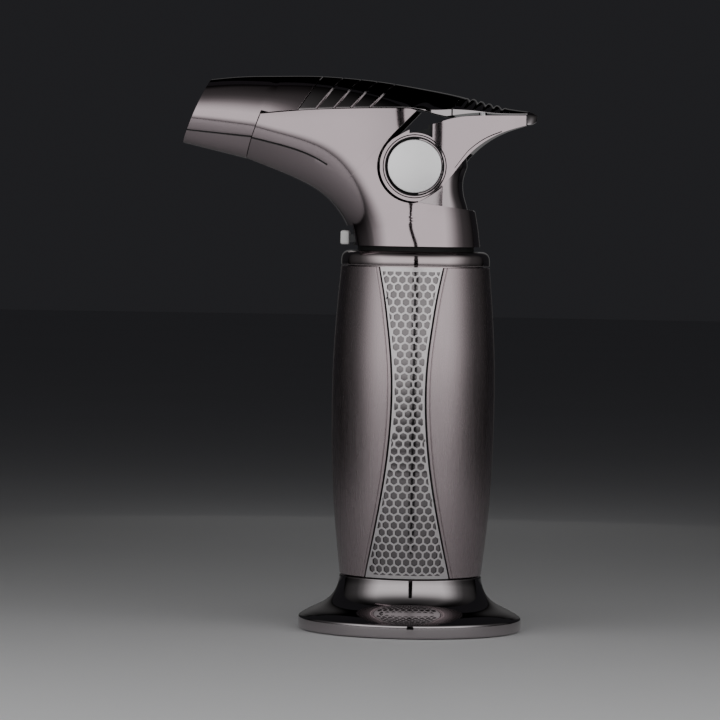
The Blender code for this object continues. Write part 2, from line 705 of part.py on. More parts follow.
def lever_ring(x, inset, sides=5):
    """A ring round the lever at x: front cheek, over the top, back cheek, under the floor."""
    low, high = lever_edges(x)
    wide = lever_half_width(x) - inset
    low, high = low + inset, high - inset
    if inset and x < 15.2:
        low, high = low - inset, high
    heights = spread(low, max(low + 0.2, high), sides)
    front = [(x, -wide, z) for z in heights]
    back = [(x, wide, z) for z in reversed(heights)]
    return front + back


def build_lever(looks):
    hub = [PIVOT[0] - HUB_R * math.cos(math.radians(a)) for a in (12, 30, 50, 70, 90)]
    stations = hub + [1.7, 3.4, 6.0, 9.0, 12.0, 15.2, 18.0, 21.0, 24.0, 27.0, 30.1]
    sides = 5
    outer = [lever_ring(x, 0.0) for x in stations]
    inner = [lever_ring(x, 1.6) for x in stations]
    top_from, floor_from = stations.index(3.4), stations.index(15.2)

    def keep(i, j):
        if j == sides - 1:
            return i >= top_from
        if j == 2 * sides - 1:
            return i >= floor_from
        return True

    pivot = (PIVOT[0], 0.0, PIVOT[1])
    shell = grid_shell(outer, inner, keep, around=True)
    lever = mesh_object("trigger_lever", shell, looks["gunmetal"], pivot)
    hole = rod(CAP_R + GAP, 40.0, axis_frame((PIVOT[0], -20.0, PIVOT[1]), (0, 1, 0)), steps=32)
    boolean(lever, mesh_object("cut_cap_hole", hole, looks["gunmetal"]))

    barrel = rod(4.2, 15.6, axis_frame((PIVOT[0], -7.8, PIVOT[1]), (0, 1, 0)), 2.3, 20)
    cam_hub = mesh_object("trigger_cam", barrel, looks["black"], pivot)
    push = [(3.0, 124.9), (10.6, 123.3), (11.0, 124.6), (9.0, 128.4), (3.0, 131.0)]
    boolean(cam_hub, mesh_object("add_push_tab", prism(push, -3.0, 3.0), looks["black"]), "UNION")
    for side in (-1, 1):
        y0, y1 = sorted((side * CRANK_ARM_Y[0], side * CRANK_ARM_Y[1]))
        arm = [(-2.9, 119.3), (-0.9, 119.3), (1.6, 126.0), (-3.0, 126.6)]
        boolean(cam_hub, mesh_object(f"add_arm_{side}", prism(arm, y0, y1), looks["black"]), "UNION")
    hub_wall = rod(2.3, 30.0, axis_frame((PIVOT[0], -15.0, PIVOT[1]), (0, 1, 0)), steps=20)
    boolean(cam_hub, mesh_object("cut_cam_bore", hub_wall, looks["black"]))

    pin = rod(2.0, 23.0, axis_frame((PIVOT[0], -11.5, PIVOT[1]), (0, 1, 0)), steps=20)
    mesh_object("pivot_pin", pin, looks["steel"])
    cap = [(0.0, 0.0), (CAP_R - 1.0, 0.0), (CAP_R, 0.2), (CAP_R, 0.9), (CAP_R - 0.5, 1.3), (0.0, 1.45)]
    for name, side in (("pivot_cap_front", -1), ("pivot_cap_back", 1)):
        frame = axis_frame((PIVOT[0], side * 11.8, PIVOT[1]), (0, side, 0))
        mesh_object(name, lathe(cap, 32, frame), looks["silver"])


RIB_SPAN = (12.0, 24.5)  # x of the thumb rest's first and last rib
THUMB_LOW = [(10.2, 142.8), (20.5, 143.2), (30.4, 143.45)]


def build_thumb_rest(looks):
    """The ribbed rear end of the spine, a solid block that sits on the lever and wraps its tip."""
    low_line = spline(THUMB_LOW)
    stations = spread(10.2, 30.2, 17) + [30.5, 31.6, 32.6, 33.0]
    outer = []
    for k, x in enumerate(stations):
        tip = max(0.0, (x - 30.9) / 2.1)
        half = lever_half_width(x) * math.sqrt(max(0.02, 1 - tip**2))
        lean = max(0.0, 2.0 * (1 - (x - 10.2) / 12.0))
        top = ridge(min(x + lean, 31.6)) - 1.0 * tip**2
        if RIB_SPAN[0] < x < RIB_SPAN[1]:
            top += 0.0 if k % 2 else 0.35
        low = low_line(x) if x < 30.45 else 140.6 + 0.9 * tip**2
        edge = math.radians(52.0)
        row = arch((x, 0.0, low), (x + lean, 0.0, top), half, spread(-edge, edge, 9), edge, 0.0)
        outer.append(row)
    bm = bmesh.new()
    rows = [[bm.verts.new(p) for p in row] for row in outer]
    for a, b in zip(rows, rows[1:]):
        for k in range(len(a) - 1):
            bm.faces.new([a[k], b[k], b[k + 1], a[k + 1]])
        bm.faces.new([a[-1], b[-1], b[0], a[0]])
    bm.faces.new(rows[0])
    bm.faces.new(list(reversed(rows[-1])))
    pivot = (PIVOT[0], 0.0, PIVOT[1])
    rest = mesh_object("thumb_rest", bm, looks["gunmetal"], pivot)
    pocket = rod(1.4, 3.4, Matrix.Translation((18.0, 0, 142.0)), steps=14)
    boolean(rest, mesh_object("cut_thumb_pilot", pocket, looks["gunmetal"]))
    hole = rod(1.4, 6.0, Matrix.Translation((18.0, 0, 138.6)), steps=14)
    boolean(bpy.data.objects["trigger_lever"], mesh_object("cut_thumb_hole", hole, looks["gunmetal"]))
    screw = [(0.0, 139.8), (2.2, 139.8), (2.2, 140.9), (1.1, 140.9), (1.1, 144.9), (0.0, 144.9)]
    mesh_object("thumb_rest_screw", lathe(screw, 14, Matrix.Translation((18.0, 0, 0))), looks["steel"], pivot)


# ---------------------------------------------------------------- mechanism
def frame_back_x(z):
    """The frame's rearmost x at this height; above the pivot it runs round the lever's axis."""
    if z <= PIVOT[1]:
        return frame_back(z)
    return PIVOT[0] + math.sqrt(FRAME_GUARD_R**2 - (z - PIVOT[1]) ** 2)


def frame_row(z, inset):
    """A U-shaped section, open to the front: front side, round the back, other side."""
    wide, back = FRAME_Y - inset, frame_back_x(z) - inset
    bend = 7.0 - inset * 0.3
    curve = [math.radians(a) for a in (0, 30, 60, 90)]
    half = [(bend + (back - bend) * math.sin(a), -wide * math.cos(a), z) for a in curve]
    front = [(-9.0, -wide, z)] + half
    return front + [(x, -y, z) for x, y, z in reversed(front[:-1])]


def build_frame(looks):
    heights = [COLLAR_FLOOR + GAP, 112.0, 117.4, 120.1, 122.8, 125.2, 128.4, 132.0, 136.0]
    shell = grid_shell([frame_row(z, 0.0) for z in heights], [frame_row(z, FRAME_WALL) for z in heights])
    frame = mesh_object("mechanism_frame", shell, looks["polished"])
    slab = block((-3.0, -16.5, 113.2), (16.5, 16.5, 115.7))
    flange = rod(14.1, 1.5, Matrix.Translation((0, 0, 113.7)), steps=32)
    ring = mesh_object("keep_flange", flange, looks["polished"])
    axles = ((*PIVOT, 2.3), (*CRANK, 1.3))
    holes = [rod(radius, 30.0, axis_frame((x, -15.0, z), (0, 1, 0)), steps=16) for x, z, radius in axles]
    boolean(frame, mesh_object("cut_axle_holes", join(*holes), looks["polished"]))
    shelf = mesh_object("add_shelf", slab, looks["polished"])
    boolean(shelf, ring, "INTERSECT")
    boolean(shelf, mesh_object("cut_shelf_hollow", frame_hollow(), looks["polished"]))
    boolean(frame, shelf, "UNION")

    walls = block((PIEZO_X - 2.4, -3.9, 102.7), (PIEZO_X + 2.4, 3.9, 116.4))
    hollow = block((PIEZO_X - 1.8, -2.8, 104.2), (PIEZO_X + 1.8, 2.8, 117.5))
    case = mesh_object("piezo_case", walls, looks["black"])
    boolean(case, mesh_object("cut_piezo_pocket", hollow, looks["black"]))
    plunger = block((PIEZO_X - 1.5, -2.5, 112.0), (PIEZO_X + 1.5, 2.5, 122.8))
    mesh_object("piezo_plunger", plunger, looks["white"], (PIEZO_X, 0, 112.0))
    tube_along("piezo_spring", helix(1.15, 104.8, 111.4, 5, (PIEZO_X, 0)), 0.25, looks["steel"], 6)

    upright = [(-5.2, 112.9), (-7.0, 112.9), (-7.0, 119.2), (-5.4, 120.0), (-3.2, 120.0), (-3.2, 115.5)]
    y0, y1 = CRANK_ARM_Y
    sleeve = rod(1.9, 2 * y1, axis_frame((CRANK[0], -y1, CRANK[1]), (0, 1, 0)), 1.3, 16)
    crank = mesh_object("gas_crank", sleeve, looks["steel"], (CRANK[0], 0, CRANK[1]))
    for side in (-1, 1):
        low, high = sorted((side * y0, side * y1))
        boolean(crank, mesh_object(f"add_upright_{side}", prism(upright, low, high), looks["steel"]), "UNION")
        low, high = sorted((side * 1.6, side * 3.0))
        tine = mesh_object(f"add_tine_{side}", block((-5.0, low, 111.4), (1.2, high, 112.3)), looks["steel"])
        boolean(crank, tine, "UNION")
    bore = rod(1.3, 20.0, axis_frame((CRANK[0], -10.0, CRANK[1]), (0, 1, 0)), steps=16)
    boolean(crank, mesh_object("cut_crank_bore", bore, looks["steel"]))
    pin = rod(1.0, 19.0, axis_frame((CRANK[0], -9.5, CRANK[1]), (0, 1, 0)), steps=14)
    mesh_object("crank_pin", pin, looks["steel"])


def frame_hollow():
    """What must stay open inside the frame where its shelf crosses it."""
    return block((-9.0, -FRAME_Y + 0.6, 112.0), (11.6, FRAME_Y - 0.6, 117.0))


# ---------------------------------------------------------------- burner
def on_burner_axis(x, above=0.0, aside=0.0):
    x0, z0, rise = BURNER_AXIS
    tilt = math.atan(rise)
    return (x + above * math.sin(tilt), aside, z0 + (x0 - x) * rise + above * math.cos(tilt))


def burner_frame(x, above=0.0, aside=0.0):
    return axis_frame(on_burner_axis(x, above, aside), (-1.0, 0.0, BURNER_AXIS[2]))


def build_burner(looks):
    jet = [(0.0, 0.0), (2.2, 0.0), (2.2, 2.0), (3.4, 2.0), (3.4, 8.0), (0.0, 8.0)]
    mesh_object("jet_holder", lathe(jet, 18, burner_frame(-15.6)), looks["brass"])
    mixer = mesh_object("mixing_tube", rod(4.2, 8.8, burner_frame(-24.0), 3.3, 20), looks["brass"])
    for turn, direction in enumerate(((0, 1, 0), (0, 0, 1))):
        x, y, z = on_burner_axis(-27.0)
        start = Vector((x, y, z)) - Vector(direction) * 8.0
        hole = rod(1.3, 16.0, axis_frame(start, direction), steps=12)
        boolean(mixer, mesh_object(f"cut_air_{turn}", hole, looks["brass"]))
    mesh_object("burner_clamp", rod(6.2, 3.0, burner_frame(-28.4), 4.5, 24), looks["black"])
    cone = [(2.2, -4.6), (2.9, -4.6), (2.9, 0.0), (4.7, 0.0), (6.0, 2.0), (6.0, 6.0), (4.4, 6.0), (2.2, 2.0)]
    head = mesh_object("burner_head", lathe(cone, 24, burner_frame(-34.9)), looks["brass"])
    lead_hole = rod(1.0, 12.0, burner_frame(-33.0, 3.6), steps=12)
    boolean(head, mesh_object("cut_lead_hole", lead_hole, looks["brass"]))
    mesh_object("burner_tube", rod(6.7, 15.0, burner_frame(-36.8), 6.3, 28), looks["steel"])
    grid = mesh_object("flame_grid", rod(6.0, 1.6, burner_frame(-48.0), steps=24), looks["brass"])
    ring = [(3.6 * math.cos(a), 3.6 * math.sin(a)) for a in spread(0.0, 2 * math.pi * 5 / 6, 6)]
    places = [(0.0, 0.0), *ring]
    ports = [rod(0.9, 6.0, burner_frame(-46.0, above, aside), steps=8) for above, aside in places]
    boolean(grid, mesh_object("cut_flame_ports", join(*ports), looks["brass"]))
    mesh_object("electrode_insulator", rod(1.1, 5.4, burner_frame(-41.6, 3.6), 0.7, 14), looks["white"])
    mesh_object("electrode", rod(0.4, 9.3, burner_frame(-41.3, 3.6), steps=10), looks["steel"])

    boot = lathe([(1.2, 115.7), (2.3, 115.7), (2.3, 120.6), (0.0, 120.6), (0.0, 119.4), (1.2, 119.4)], 16)
    mesh_object("hose_boot", boot, looks["rubber"])
    end = on_burner_axis(-15.3)
    hose = [
        (0.0, 0.0, 121.0), (-0.2, 0.0, 121.9), (-2.4, 0.0, 123.2), (-6.2, 0.0, 125.6), (-8.8, 0.0, 129.6),
        (-10.6, 0.0, 134.6), (-12.6, 0.0, 137.3), end,
    ]
    tube_along("gas_hose", through(hose, 20), 1.0, looks["tank"])
    start = on_burner_axis(-41.0, 3.6)
    lead = [
        (PIEZO_X, -4.8, 116.0), (7.9, -6.2, 117.0), (2.0, -7.0, 119.5), (-5.6, -7.2, 123.5),
        (-10.5, -7.0, 131.0), (-15.0, -6.6, 140.0), (-21.0, -5.4, 146.8), (-28.0, -1.6, 148.6),
        (-31.8, 0.0, 147.6),
        on_burner_axis(-33.2, 5.6), on_burner_axis(-34.4, 3.9), on_burner_axis(-37.0, 3.6), start,
    ]
    tube_along("ignition_lead", through(lead, 40), 0.55, looks["white"])


# ---------------------------------------------------------------- all of it
def clear_scene():
    for thing in list(bpy.data.objects):
        bpy.data.objects.remove(thing)


def main():
    clear_scene()
    fit_throat()
    looks = {
        "gunmetal": material("gunmetal", (0.30, 0.28, 0.29), 1.0, 0.18),
        "satin": material("satin_gunmetal", (0.24, 0.22, 0.23), 1.0, 0.34),
        "polished": material("polished_gunmetal", (0.22, 0.21, 0.23), 1.0, 0.06),
        "lattice": material("lattice", (0.55, 0.53, 0.54), 1.0, 0.30),
        "silver": material("satin_silver", (0.80, 0.79, 0.80), 1.0, 0.30),
        "steel": material("steel", (0.60, 0.60, 0.62), 1.0, 0.25),
        "brass": material("brass", (0.72, 0.52, 0.22), 1.0, 0.28),
        "black": material("black_plastic", (0.03, 0.03, 0.03), 0.0, 0.45),
        "white": material("pale_plastic", (0.80, 0.79, 0.77), 0.0, 0.40),
        "rubber": material("rubber", (0.03, 0.03, 0.03), 0.0, 0.75),
        "tank": material("tank_nylon", (0.78, 0.76, 0.68), 0.0, 0.45),
    }
    build_base(looks)
    build_handle(looks)
    build_tank(looks)
    build_outlet_valve(looks)
    build_housings(looks)
    build_nozzle(looks)
    build_spine(looks)
    build_lever(looks)
    build_thumb_rest(looks)
    build_frame(looks)
    build_burner(looks)


main()
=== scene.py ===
"""Looks of the table-top butane torch: fine shells over the fixed frame, materials, studio and camera.

Lengths are in millimetres here and become metres in piece(). +Z is up, the nozzle points to -X.
"""

import math

import bmesh
import bpy
import numpy as np
from mathutils import Matrix, Vector
from mathutils.geometry import delaunay_2d_cdt


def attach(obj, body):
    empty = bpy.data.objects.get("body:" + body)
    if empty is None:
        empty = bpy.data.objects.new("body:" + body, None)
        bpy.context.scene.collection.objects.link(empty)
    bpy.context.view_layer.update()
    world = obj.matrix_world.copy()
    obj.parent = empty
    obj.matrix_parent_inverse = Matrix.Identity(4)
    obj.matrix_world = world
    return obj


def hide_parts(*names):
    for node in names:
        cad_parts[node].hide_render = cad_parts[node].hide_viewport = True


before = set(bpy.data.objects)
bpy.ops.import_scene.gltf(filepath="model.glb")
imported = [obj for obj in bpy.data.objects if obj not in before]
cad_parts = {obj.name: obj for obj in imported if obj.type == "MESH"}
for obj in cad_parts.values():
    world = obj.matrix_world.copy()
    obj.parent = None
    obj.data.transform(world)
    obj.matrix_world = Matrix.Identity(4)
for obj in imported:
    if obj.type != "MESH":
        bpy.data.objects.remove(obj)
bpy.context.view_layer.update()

MM = 0.001
GAP = 0.3
ROOT, TRIGGER, ADJUSTER = "torch", "trigger", "adjuster"

# ---- dimensions, as in the frame
HANDLE_Z0, HANDLE_Z1 = 15.4, 100.7
SKIN = 1.4
SHELL = 1.5
BASE_R = 31.0
FOOT_R = 27.0
FOOT_H = 1.2
VALVE_X = 11.0
COLLAR_FLOOR = 102.4
PIVOT = (0.0, 128.4)
CAP_R = 7.45
HUB_R = 9.6
POCKET_R = 10.2
FRAME_Y = 9.5
FRAME_WALL = 1.2
FRAME_GUARD_R = 13.9

HANDLE_PROFILE = [
    (15.4, 19.65), (24.7, 20.7), (35.9, 21.75), (47.0, 22.3), (60.0, 22.55),
    (72.0, 22.5), (83.1, 22.0), (91.5, 21.4), (100.7, 20.6),
]
PANEL_HALF_ANGLE = [
    (15.4, 37.0), (22.0, 31.0), (32.0, 23.5), (43.0, 17.6), (55.0, 13.8), (65.0, 12.6),
    (75.0, 13.6), (86.0, 17.4), (93.0, 20.8), (100.7, 26.0),
]
THROAT = [
    (-47.4, 130.0), (-41.0, 127.6), (-32.6, 124.2), (-26.4, 120.7),
    (-21.6, 115.9), (-18.9, 111.0), (-17.8, 106.4),
]
SECTION_ANGLE = [69.4, 68.5, 64.0, 53.0, 37.0, 20.0, 0.0]
SECTION_ROUND = [11.6, 12.6, 14.0, 15.0, 16.4, 17.4, 17.8]
SECTION_WIDTH = [11.3, 11.9, 12.7, 13.6, 15.4, 17.0, 17.8]
SECTION_FAR = [13.0, 20.0, 34.0, 42.0, 26.0, 18.4, 17.8]
CREASE_DEPTH = [6.0, 6.9, 7.7, 7.6, 7.4, 7.2, 7.0]
CREASE_SHARE = [1.0, 0.9, 0.45, 0.0, 0.0, 0.0, 0.0]
HOUSING_TOP = [
    (-60.0, 140.5), (-41.8, 142.3), (-32.2, 143.2), (-19.0, 143.9), (-5.0, 144.2), (2.0, 144.2),
]
RIDGE = [
    (-57.6, 151.8), (-52.5, 152.4), (-46.9, 152.8), (-38.6, 153.0), (-28.0, 153.1), (-18.6, 152.6),
    (-9.7, 151.7), (-2.4, 150.6), (5.9, 149.2), (13.5, 147.6), (19.1, 146.1), (24.7, 144.9), (31.6, 144.0),
]
NOZZLE_FLOOR = [(-65.2, 134.1), (-47.5, 130.0)]
NOZZLE_RIDGE_X = (-57.6, -39.2)
NOZZLE_HALF_WIDTH = (8.9, 11.3)
ARCH_HALF_ANGLE = 81.5  # of the nozzle's top, and at its seam with the ribbed cover
SEAM_HALF_ANGLE = 62.0
NECK_BACK_R = [(106.4, 17.8), (111.0, 17.3), (117.0, 16.9)]  # z, radius of the neck's round back
LEDGE = [(1.0, 118.5), (16.9, 116.4), (26.0, 115.2)]
LEVER_TOP = [
    (-6.4, 135.6), (-2.2, 138.1), (1.3, 139.4), (4.9, 140.1), (8.0, 141.1), (11.0, 141.9),
    (20.5, 142.7), (30.6, 143.0),
]
LEVER_FLOOR = [
    (1.7, 119.0), (4.4, 120.6), (7.2, 122.7), (9.4, 125.0), (13.1, 129.9), (17.9, 134.7),
    (23.2, 137.9), (30.6, 140.4),
]
LEVER_HALF_WIDTH = [
    (-10.0, 12.3), (2.0, 12.3), (7.0, 12.2), (13.0, 11.3), (20.0, 8.9), (26.0, 6.1), (30.6, 3.6), (33.0, 2.4),
]
FRAME_BACK = [
    (102.7, 14.6), (112.0, 14.4), (117.4, 14.0), (120.1, 13.2), (122.8, 12.8), (125.2, 12.9), (128.4, 13.9),
]
CRANK = (-6.0, 112.0)
PIVOT_BORE, CRANK_BORE = 2.3, 1.3
GROOVES = [-27.4, -22.4, -17.6, -12.4]

# ---- dimensions of the shown skins alone; the low edges are without the lip below them
SPINE_LOW = [(-32.3, 143.5), (-19.0, 144.25), (-5.0, 144.6), (-1.0, 144.5), (2.0, 144.1), (9.8, 144.2)]
SPINE_HALF = [(-32.3, 11.5), (-19.0, 12.0), (-5.0, 12.3), (4.8, 12.4), (9.8, 11.6)]
SPINE_LIMIT = [(-32.3, 60.0), (-28.0, 50.0), (-19.0, 45.0), (-5.0, 42.0), (9.8, 40.0)]
THUMB_LOW = [(10.2, 144.2), (16.5, 143.9), (20.5, 143.5), (30.4, 143.5)]
# (x, depth) of the upright lip below the lower edge of the ribbed cover and the thumb rest
LIP = [(1.5, 0.08), (3.5, 0.5), (5.7, 1.1), (8.5, 1.8), (10.2, 1.6), (12.2, 1.25), (16.5, 0.5), (18.5, 0.08)]
CREASE_GROOVE = (0.24, 0.08, 0.18)  # half width at the skin and at the bottom, and depth


# ---- curves
def spline(points):
    """Smooth y(x) through the points: a natural cubic spline."""
    x, y = (np.array(v, float) for v in zip(*points))
    h = np.diff(x)
    size = len(x)
    a = np.eye(size)
    b = np.zeros(size)
    for i in range(1, size - 1):
        a[i, i - 1 : i + 2] = h[i - 1], 2 * (h[i - 1] + h[i]), h[i]
        b[i] = 6 * ((y[i + 1] - y[i]) / h[i] - (y[i] - y[i - 1]) / h[i - 1])
    m = np.linalg.solve(a, b)

    def at(value):
        i = int(np.clip(np.searchsorted(x, value) - 1, 0, size - 2))
        left, right = x[i + 1] - value, value - x[i]
        cubic = (m[i] * left**3 + m[i + 1] * right**3) / (6 * h[i])
        line = (y[i] / h[i] - m[i] * h[i] / 6) * left + (y[i + 1] / h[i] - m[i + 1] * h[i] / 6) * right
        return float(cubic + line)

    return at


def knots(points):
    steps = [math.dist(p, q) for p, q in zip(points, points[1:])]
    along = np.concatenate([[0.0], np.cumsum(steps)])
    return [float(v) for v in along / along[-1]]


def spread(first, last, count):
    return [first + (last - first) * i / (count - 1) for i in range(count)]


def table(points, x):
    return float(np.interp(x, [p[0] for p in points], [p[1] for p in points]))


handle_radius = spline(HANDLE_PROFILE)
panel_half_angle = spline(PANEL_HALF_ANGLE)
ridge = spline(RIDGE)
housing_top = spline(HOUSING_TOP)
lever_half_width = spline(LEVER_HALF_WIDTH)
lever_top = spline(LEVER_TOP)
lever_floor = spline(LEVER_FLOOR)
frame_back = spline(FRAME_BACK)


# ---- materials
class Shader:
    """A small helper for building one material's nodes."""

    def __init__(self, name):
        self.material = bpy.data.materials.new(name)
        self.material.use_nodes = True
        self.tree = self.material.node_tree
        self.surface = self.tree.nodes["Principled BSDF"]
        self.place = self.node("ShaderNodeTexCoord").outputs["Object"]

    def node(self, kind, **values):
        made = self.tree.nodes.new(kind)
        for key, value in values.items():
            if key in made.inputs:
                self.feed(made.inputs[key], value)
            else:
                setattr(made, key, value)
        return made

    def feed(self, socket, value):
        if isinstance(value, bpy.types.NodeSocket):
            self.tree.links.new(value, socket)
        else:
            socket.default_value = value

    def noise(self, scale, detail=3.0, stretch=(1.0, 1.0, 1.0)):
        mapping = self.node("ShaderNodeMapping", Vector=self.place, Scale=stretch)
        made = self.node("ShaderNodeTexNoise", Vector=mapping.outputs[0], Scale=scale, Detail=detail)
        return made.outputs["Fac"]

    def remap(self, value, low, high):
        made = self.node("ShaderNodeMapRange")
        for key, item in (("Value", value), ("To Min", low), ("To Max", high)):
            self.feed(made.inputs[key], item)
        return made.outputs["Result"]

    def mix(self, factor, first, second):
        made = self.node("ShaderNodeMix", data_type="RGBA")
        colours = [s for s in made.inputs if s.type == "RGBA"]
        self.feed(made.inputs["Factor"], factor)
        self.feed(colours[0], first)
        self.feed(colours[1], second)
        return [s for s in made.outputs if s.type == "RGBA"][0]

    def bump(self, height, distance, strength=1.0):
        made = self.node("ShaderNodeBump", Height=height, Distance=distance, Strength=strength)
        self.feed(self.surface.inputs["Normal"], made.outputs[0])
        return made

    def set(self, **values):
        for key, value in values.items():
            self.feed(self.surface.inputs[key.replace("_", " ")], value)
        return self.material


def rgba(colour, scale=1.0):
    return (*(c * scale for c in colour), 1.0)


def metal(name, colour, roughness, vary=0.03, grain=0.0, stretch=(1.0, 1.0, 1.0), tint=0.06):
    """Plated metal: faint clouding in colour and polish, and fine grain if it is satin."""
    s = Shader(name)
    cloud = s.noise(55.0, 4.0)
    fine = s.noise(900.0, 2.0, stretch)
    shade = s.mix(cloud, rgba(colour, 1.0 - tint), rgba(colour, 1.0 + tint))
    rough = s.remap(fine, roughness - vary, roughness + vary)
    if grain:
        s.bump(fine, 0.00002, grain)
    return s.set(Base_Color=shade, Metallic=1.0, Roughness=rough)


def plastic(name, colour, roughness, grain=0.15, tint=0.05):
    s = Shader(name)
    cloud = s.noise(120.0, 3.0)
    fine = s.noise(2500.0, 2.0)
    shade = s.mix(cloud, rgba(colour, 1.0 - tint), rgba(colour, 1.0 + tint))
    s.bump(fine, 0.00003, grain)
    rough = s.remap(fine, roughness - 0.05, roughness + 0.05)
    return s.set(Base_Color=shade, Metallic=0.0, Roughness=rough)


def make_looks():
    return {
        "gunmetal": metal("gunmetal", (0.45, 0.38, 0.40), 0.08, 0.01),
        "dark_gloss": metal("dark_gloss", (0.42, 0.385, 0.395), 0.05, 0.01, tint=0.03),
        "collar": metal("collar", (0.44, 0.38, 0.39), 0.07, 0.01),
        "insert": metal("insert", (0.40, 0.35, 0.365), 0.07, 0.01),
        "satin": metal("satin_gunmetal", (0.42, 0.355, 0.37), 0.27, 0.04, 0.2, (1.0, 1.0, 0.08)),
        "lattice": metal("lattice_silver", (0.62, 0.59, 0.60), 0.32, 0.06, 0.2),
        "cell": metal("lattice_cell", (0.19, 0.175, 0.18), 0.12, 0.03),
        "silver": metal("satin_silver", (0.95, 0.94, 0.95), 0.36, 0.04, 0.2),
        "steel": metal("bright_steel", (0.62, 0.62, 0.64), 0.22, 0.06, 0.2),
        "tube_steel": metal("drawn_steel", (0.52, 0.50, 0.48), 0.28, 0.08, 0.3, (0.05, 1.0, 1.0)),
        "brass": metal("turned_brass", (0.74, 0.54, 0.24), 0.25, 0.07, 0.25),
        "black": plastic("black_plastic", (0.022, 0.022, 0.024), 0.42),
        "knob": plastic("pale_plastic", (0.80, 0.79, 0.78), 0.38, 0.1),
        "ceramic": plastic("ceramic", (0.84, 0.82, 0.78), 0.30, 0.2),
        "rubber": plastic("rubber", (0.022, 0.022, 0.023), 0.78, 0.6),
        "tank": plastic("tank_nylon", (0.76, 0.73, 0.64), 0.45, 0.2),
        "hose": plastic("hose_nylon", (0.72, 0.69, 0.60), 0.30, 0.1),
        "lead": plastic("lead_jacket", (0.80, 0.78, 0.75), 0.40, 0.1),
        # painted shade: a near-black stand-in for shadow on inner skins, recesses, creases and slots
        "dark": plastic("inside_painted_shade", (0.006, 0.006, 0.006), 0.7, 0.1),
    }


LOOKS = make_looks()


# ---- mesh building
def soften(made, width, sharp, segments):
    """A bevel on edges sharper than this angle; returns the modifier."""
    modifier = made.modifiers.new("Edges", "BEVEL")
    modifier.width = width * MM
    modifier.segments = segments
    modifier.limit_method = "ANGLE"
    modifier.angle_limit = math.radians(sharp)
    return modifier


def piece(name, bm, looks, body, replaces=(), sharp=35, bevel=0.0):
    """A shown piece made from a bmesh in millimetres. looks is the name of one look or several."""
    bmesh.ops.recalc_face_normals(bm, faces=bm.faces)
    if bm.calc_volume(signed=True) < 0:
        bmesh.ops.reverse_faces(bm, faces=bm.faces)
    mesh = bpy.data.meshes.new(name)
    bm.to_mesh(mesh)
    bm.free()
    mesh.transform(Matrix.Scale(MM, 4))
    for look in [looks] if isinstance(looks, str) else looks:
        mesh.materials.append(LOOKS[look])
    mesh.shade_smooth()
    made = bpy.data.objects.new(name, mesh)
    bpy.context.scene.collection.objects.link(made)
    if bevel:
        soften(made, bevel, sharp, 3).harden_normals = True
    else:
        mesh.set_sharp_from_angle(angle=math.radians(sharp))
    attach(made, body)
    if replaces:
        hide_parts(*replaces)
    return made


def lathe(profile, steps=128, place=None):
    bm = bmesh.new()
    loop = [bm.verts.new((r, 0.0, z)) for r, z in profile]
    edges = [bm.edges.new((a, b)) for a, b in zip(loop, loop[1:] + loop[:1])]
    bmesh.ops.spin(
        bm, geom=loop + edges, cent=(0, 0, 0), axis=(0, 0, 1), dvec=(0, 0, 0), angle=2 * math.pi, steps=steps,
        use_merge=True,
    )
    bmesh.ops.remove_doubles(bm, verts=bm.verts, dist=1e-4)
    bmesh.ops.delete(bm, geom=[e for e in bm.edges if not e.link_faces], context="EDGES")
    if place is not None:
        bm.transform(place)
    return bm


def axis_frame(point, direction):
    turn = Vector(direction).to_track_quat("Z", "Y").to_matrix().to_4x4()
    return Matrix.Translation(Vector(point)) @ turn


def join(*parts):
    whole = bmesh.new()
    for part in parts:
        mesh = bpy.data.meshes.new("joined")
        part.to_mesh(mesh)
        part.free()
        whole.from_mesh(mesh)
        bpy.data.meshes.remove(mesh)
    return whole


def nowhere(_i, _j):
    return False


def grid_shell(outer, inner, keep=None, around=False, dark=None):
    """A closed shell between two grids of points; keep(i, j) says which cells are there.

    Where dark is given, the inner skin gets the second material, a near-black painted shade, and so do outer
    cells where dark(i, j).
    """
    bm = bmesh.new()
    rows, columns = len(outer), len(outer[0])
    made = {}

    def vert(side, i, j):
        j = j % columns if around else j
        key = (side, i, j)
        if key not in made:
            made[key] = bm.verts.new((outer, inner)[side][i][j])
        return made[key]

    wide = columns if around else columns - 1
    cells = [(i, j) for i in range(rows - 1) for j in range(wide) if keep is None or keep(i, j)]
    present = set(cells)
    for i, j in cells:
        corners = [(i, j), (i + 1, j), (i + 1, j + 1), (i, j + 1)]
        skin = bm.faces.new([vert(0, *c) for c in corners])
        lining = bm.faces.new([vert(1, *c) for c in reversed(corners)])
        if dark is not None:
            skin.material_index = 1 if dark(i, j) else 0
            lining.material_index = 1
        neighbours = [(i, j - 1), (i + 1, j), (i, j + 1), (i - 1, j)]
        for (di, dj), a, b in zip(neighbours, corners, corners[1:] + corners[:1]):
            dj = dj % columns if around else dj
            if (di, dj) not in present:
                bm.faces.new([vert(0, *b), vert(0, *a), vert(1, *a), vert(1, *b)])
    return bm


def combine(first, second, operation):
    """A bmesh: the first one with the second one cut out of it, added to it or kept in common."""
    objects = []
    for bm in (first, second):
        bmesh.ops.recalc_face_normals(bm, faces=bm.faces)
        if bm.calc_volume(signed=True) < 0:
            bmesh.ops.reverse_faces(bm, faces=bm.faces)
        mesh = bpy.data.meshes.new("part")
        bm.to_mesh(mesh)
        bm.free()
        for _ in range(2):
            mesh.materials.append(None)
        made = bpy.data.objects.new("part", mesh)
        bpy.context.scene.collection.objects.link(made)
        objects.append(made)
    modifier = objects[0].modifiers.new("Combine", "BOOLEAN")
    modifier.object = objects[1]
    modifier.operation = operation
    modifier.solver = "EXACT"
    bpy.context.view_layer.update()
    deps = bpy.context.evaluated_depsgraph_get()
    result = bmesh.new()
    result.from_mesh(objects[0].evaluated_get(deps).to_mesh())
    for made in objects:
        bpy.data.objects.remove(made)
    return result


